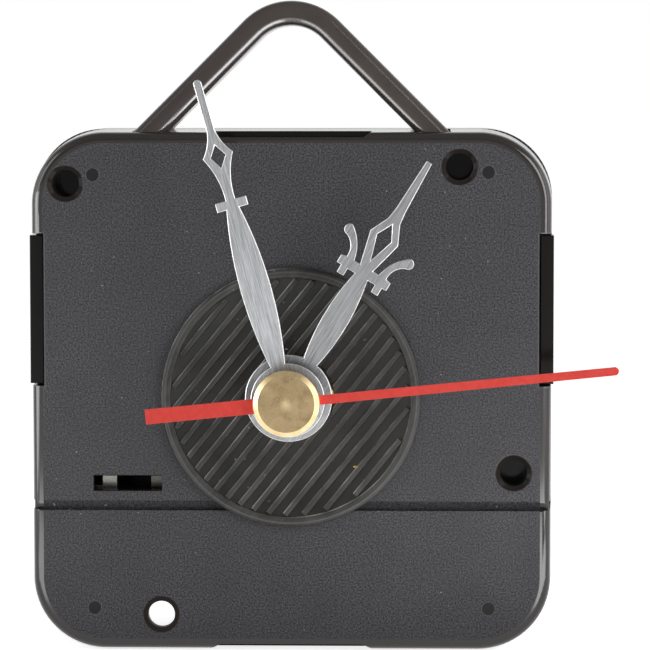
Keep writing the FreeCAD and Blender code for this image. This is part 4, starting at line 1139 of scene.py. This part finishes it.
def woundCoil(material):
    wire = coil["wire"]
    size = coilHigh - coilLow
    tree = treeKit("coilTurns", {
        "Length": size.x - wire, "Wire": wire, "Width": size.y - wire, "Depth": size.z - wire,
        "Corner": coil["corner"],
    })
    given = tree.given
    count = tree.math("FLOOR", tree.math("DIVIDE", given["Length"], given["Wire"]))
    reach = tree.times(tree.minus(count, 1.0), given["Wire"])
    line = tree.row(count, tree.combine(tree.times(reach, -0.5)), tree.combine(given["Wire"]))
    loop = tree.node("GeometryNodeCurvePrimitiveQuadrilateral", {
        "Width": given["Width"], "Height": given["Depth"],
    })
    rounded = tree.node("GeometryNodeFilletCurve", {
        "Curve": loop.outputs[0], "Radius": given["Corner"], "Count": coil["cornerSteps"],
    }, mode="POLY")
    section = tree.node("GeometryNodeCurvePrimitiveCircle", {
        "Resolution": coil["wireSides"], "Radius": tree.times(given["Wire"], 0.5),
    })
    upright = tree.node("GeometryNodeTransform", {
        "Geometry": tree.swept(rounded.outputs[0], section.outputs[0]),
        "Rotation": (math.radians(90), 0, math.radians(90)),
    })
    piece = tree.piece(tree.laid(line, upright.outputs[0]), material)
    piece.data.transform(Matrix.Translation(coilMiddle))
    return piece


def windingCore():
    # The winding's solid, a little slimmer all round
    core = newObject("windingCore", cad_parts["coil_winding"].data.copy())
    slimmer = 1 - coil["sunk"] * coil["wire"] / (coilHigh.z - coilLow.z)
    there, back = Matrix.Translation(-coilMiddle), Matrix.Translation(coilMiddle)
    core.data.transform(back @ Matrix.Scale(slimmer, 4) @ there)
    return core


copper = copperWire(wireLook)
coilPiece = joined([windingCore(), woundCoil(copper)], "coilTurns", copper)
smoothShade(coilPiece, coil["smooth"])
dress(coilPiece, "movement", "coil_winding")
print("coil: done")


# Stage: white floor and background, camera and lamps

stage = {
    "floorHalf": 6.0,
    "floorColor": (0.88, 0.88, 0.88),
    "floorGlow": 0.8,
    "floorRough": 0.9,
    "worldDiffuse": 0.24,
    "roomFront": 0.34,
    "roomTop": 0.4,
    "frontFade": (-0.85, -0.35),
    "topFade": (0.4, 0.9),
    "cameraDistance": 0.3636,
    "cameraUp": 4.1,
    "cameraRight": 1.63,
    "cameraRoll": -0.04,
    "cameraClip": (0.01, 30),
    "aim": (3.66 * mm, 0.0, 7.28 * mm),
    "field": 69.98 * mm,
    "sensor": 36.0,
    "lamps": {
        "rightLamp": ((0.34, -0.30, 0.14), (0.24, 0.34), 1.8),
        "leftLamp": ((-0.40, -0.22, 0.16), (0.16, 0.34), 0.65),
    },
    "cards": {
        "rightLow": ((0.052, -0.072, -0.0275), (0.09, 0.09), 0.18, (0, 0, 1)),
        "leftLow": ((-0.054, -0.070, -0.0275), (0.07, 0.08), 0.08, (0, 0, 1)),
        "leftRim": ((-0.16, -0.16, 0.006), (0.28, 0.066), 0.4, (1, 0, 0)),
        "rightSide": ((0.50, 0.0, 0.14), (0.26, 0.30), 0.32, (-1, 0, 0)),
        "leftSide": ((-0.50, 0.0, 0.14), (0.26, 0.30), 0.32, (1, 0, 0)),
    },
}


def seenShare(finish):
    # 1 for what the camera sees, straight or in gloss or through glass
    path = finish.node("ShaderNodeLightPath").outputs
    straight = finish.larger(path["Is Camera Ray"], path["Is Glossy Ray"])
    return finish.larger(straight, path["Is Transmission Ray"])


def floorMaterial():
    # Pale floor that looks white where it is lit and keeps the object's shadow
    finish = finishKit("paleFloor", stage["floorColor"], stage["floorRough"], specular=0.0)
    lit = finish.shader.outputs[0]
    glow = finish.node("ShaderNodeEmission", {"Strength": stage["floorGlow"]}).outputs[0]
    both = finish.node("ShaderNodeAddShader", {0: lit, 1: glow}).outputs[0]
    seen = finish.node("ShaderNodeMixShader", {0: seenShare(finish), 1: lit, 2: both}).outputs[0]
    finish.link(seen, finish.tree.nodes["Material Output"].inputs["Surface"])
    finish.rough(finish.noise(finish.place(), 0.02), 0.1, stage["floorRough"])
    return finish.material


def makeFloor():
    half, depth = stage["floorHalf"], cadBox[0][2]
    mesh = bpy.data.meshes.new("floor")
    corners = [(x * half, y * half, depth) for x, y in ((-1, -1), (1, -1), (1, 1), (-1, 1))]
    mesh.from_pydata(corners, [], [(0, 1, 2, 3)])
    mesh.materials.append(floorMaterial())
    newObject("floor", mesh)


def makeWorld():
    # White to the camera and through glass, greyer in gloss behind the camera, and a soft light
    world = bpy.data.worlds.new("paleRoom")
    bpy.context.scene.world = world
    world.use_nodes = True
    room = nodeKit(world.node_tree)
    path = room.node("ShaderNodeLightPath").outputs
    y, z = room.split(room.node("ShaderNodeTexCoord").outputs["Generated"])[1:]

    def between(value, first, second, span=(0.0, 1.0)):
        return room.node("ShaderNodeMapRange", {
            "Value": value, "From Min": span[0], "From Max": span[1], "To Min": first, "To Max": second,
        }).outputs["Result"]

    ceiling = between(z, 1.0, stage["roomTop"], stage["topFade"])
    gloss = between(y, stage["roomFront"], ceiling, stage["frontFade"])
    light = between(path["Is Glossy Ray"], stage["worldDiffuse"], gloss)
    through = between(path["Is Transmission Ray"], light, 1.0)
    background = room.tree.nodes["Background"]
    background.inputs["Color"].default_value = (1, 1, 1, 1)
    room.link(between(path["Is Camera Ray"], through, 1.0), background.inputs["Strength"])


def makeLamp(name, place, size, power, aim):
    data = bpy.data.lights.new(name, "AREA")
    data.shape = "RECTANGLE"
    data.size, data.size_y = size
    data.energy = power
    lamp = newObject(name, data)
    lamp.location = place
    lamp.rotation_euler = Vector(aim).to_track_quat("-Z", "Y").to_euler()
    return lamp


def makeCamera():
    data = bpy.data.cameras.new("camera")
    data.sensor_width = stage["sensor"]
    data.lens = stage["sensor"] * stage["cameraDistance"] / stage["field"]
    data.clip_start, data.clip_end = stage["cameraClip"]
    camera = newObject("camera", data)
    up, right = math.radians(stage["cameraUp"]), math.radians(stage["cameraRight"])
    away = Vector((math.cos(up) * math.sin(right), -math.cos(up) * math.cos(right), math.sin(up)))
    camera.location = Vector(stage["aim"]) + away * stage["cameraDistance"]
    roll = Matrix.Rotation(math.radians(stage["cameraRoll"]), 3, "Z")
    camera.rotation_euler = ((-away).to_track_quat("-Z", "Y").to_matrix() @ roll).to_euler()
    bpy.context.scene.camera = camera


makeFloor()
makeWorld()
for name, (place, size, power) in stage["lamps"].items():
    makeLamp(name, place, size, power, -Vector(place))
for name, (place, size, power, aim) in stage["cards"].items():
    card = makeLamp(name, place, size, power, aim)   # a card shows only in gloss
    card.visible_camera = False
    card.visible_diffuse = False
makeCamera()
bpy.context.scene.view_settings.view_transform = "Standard"
print("stage: done")
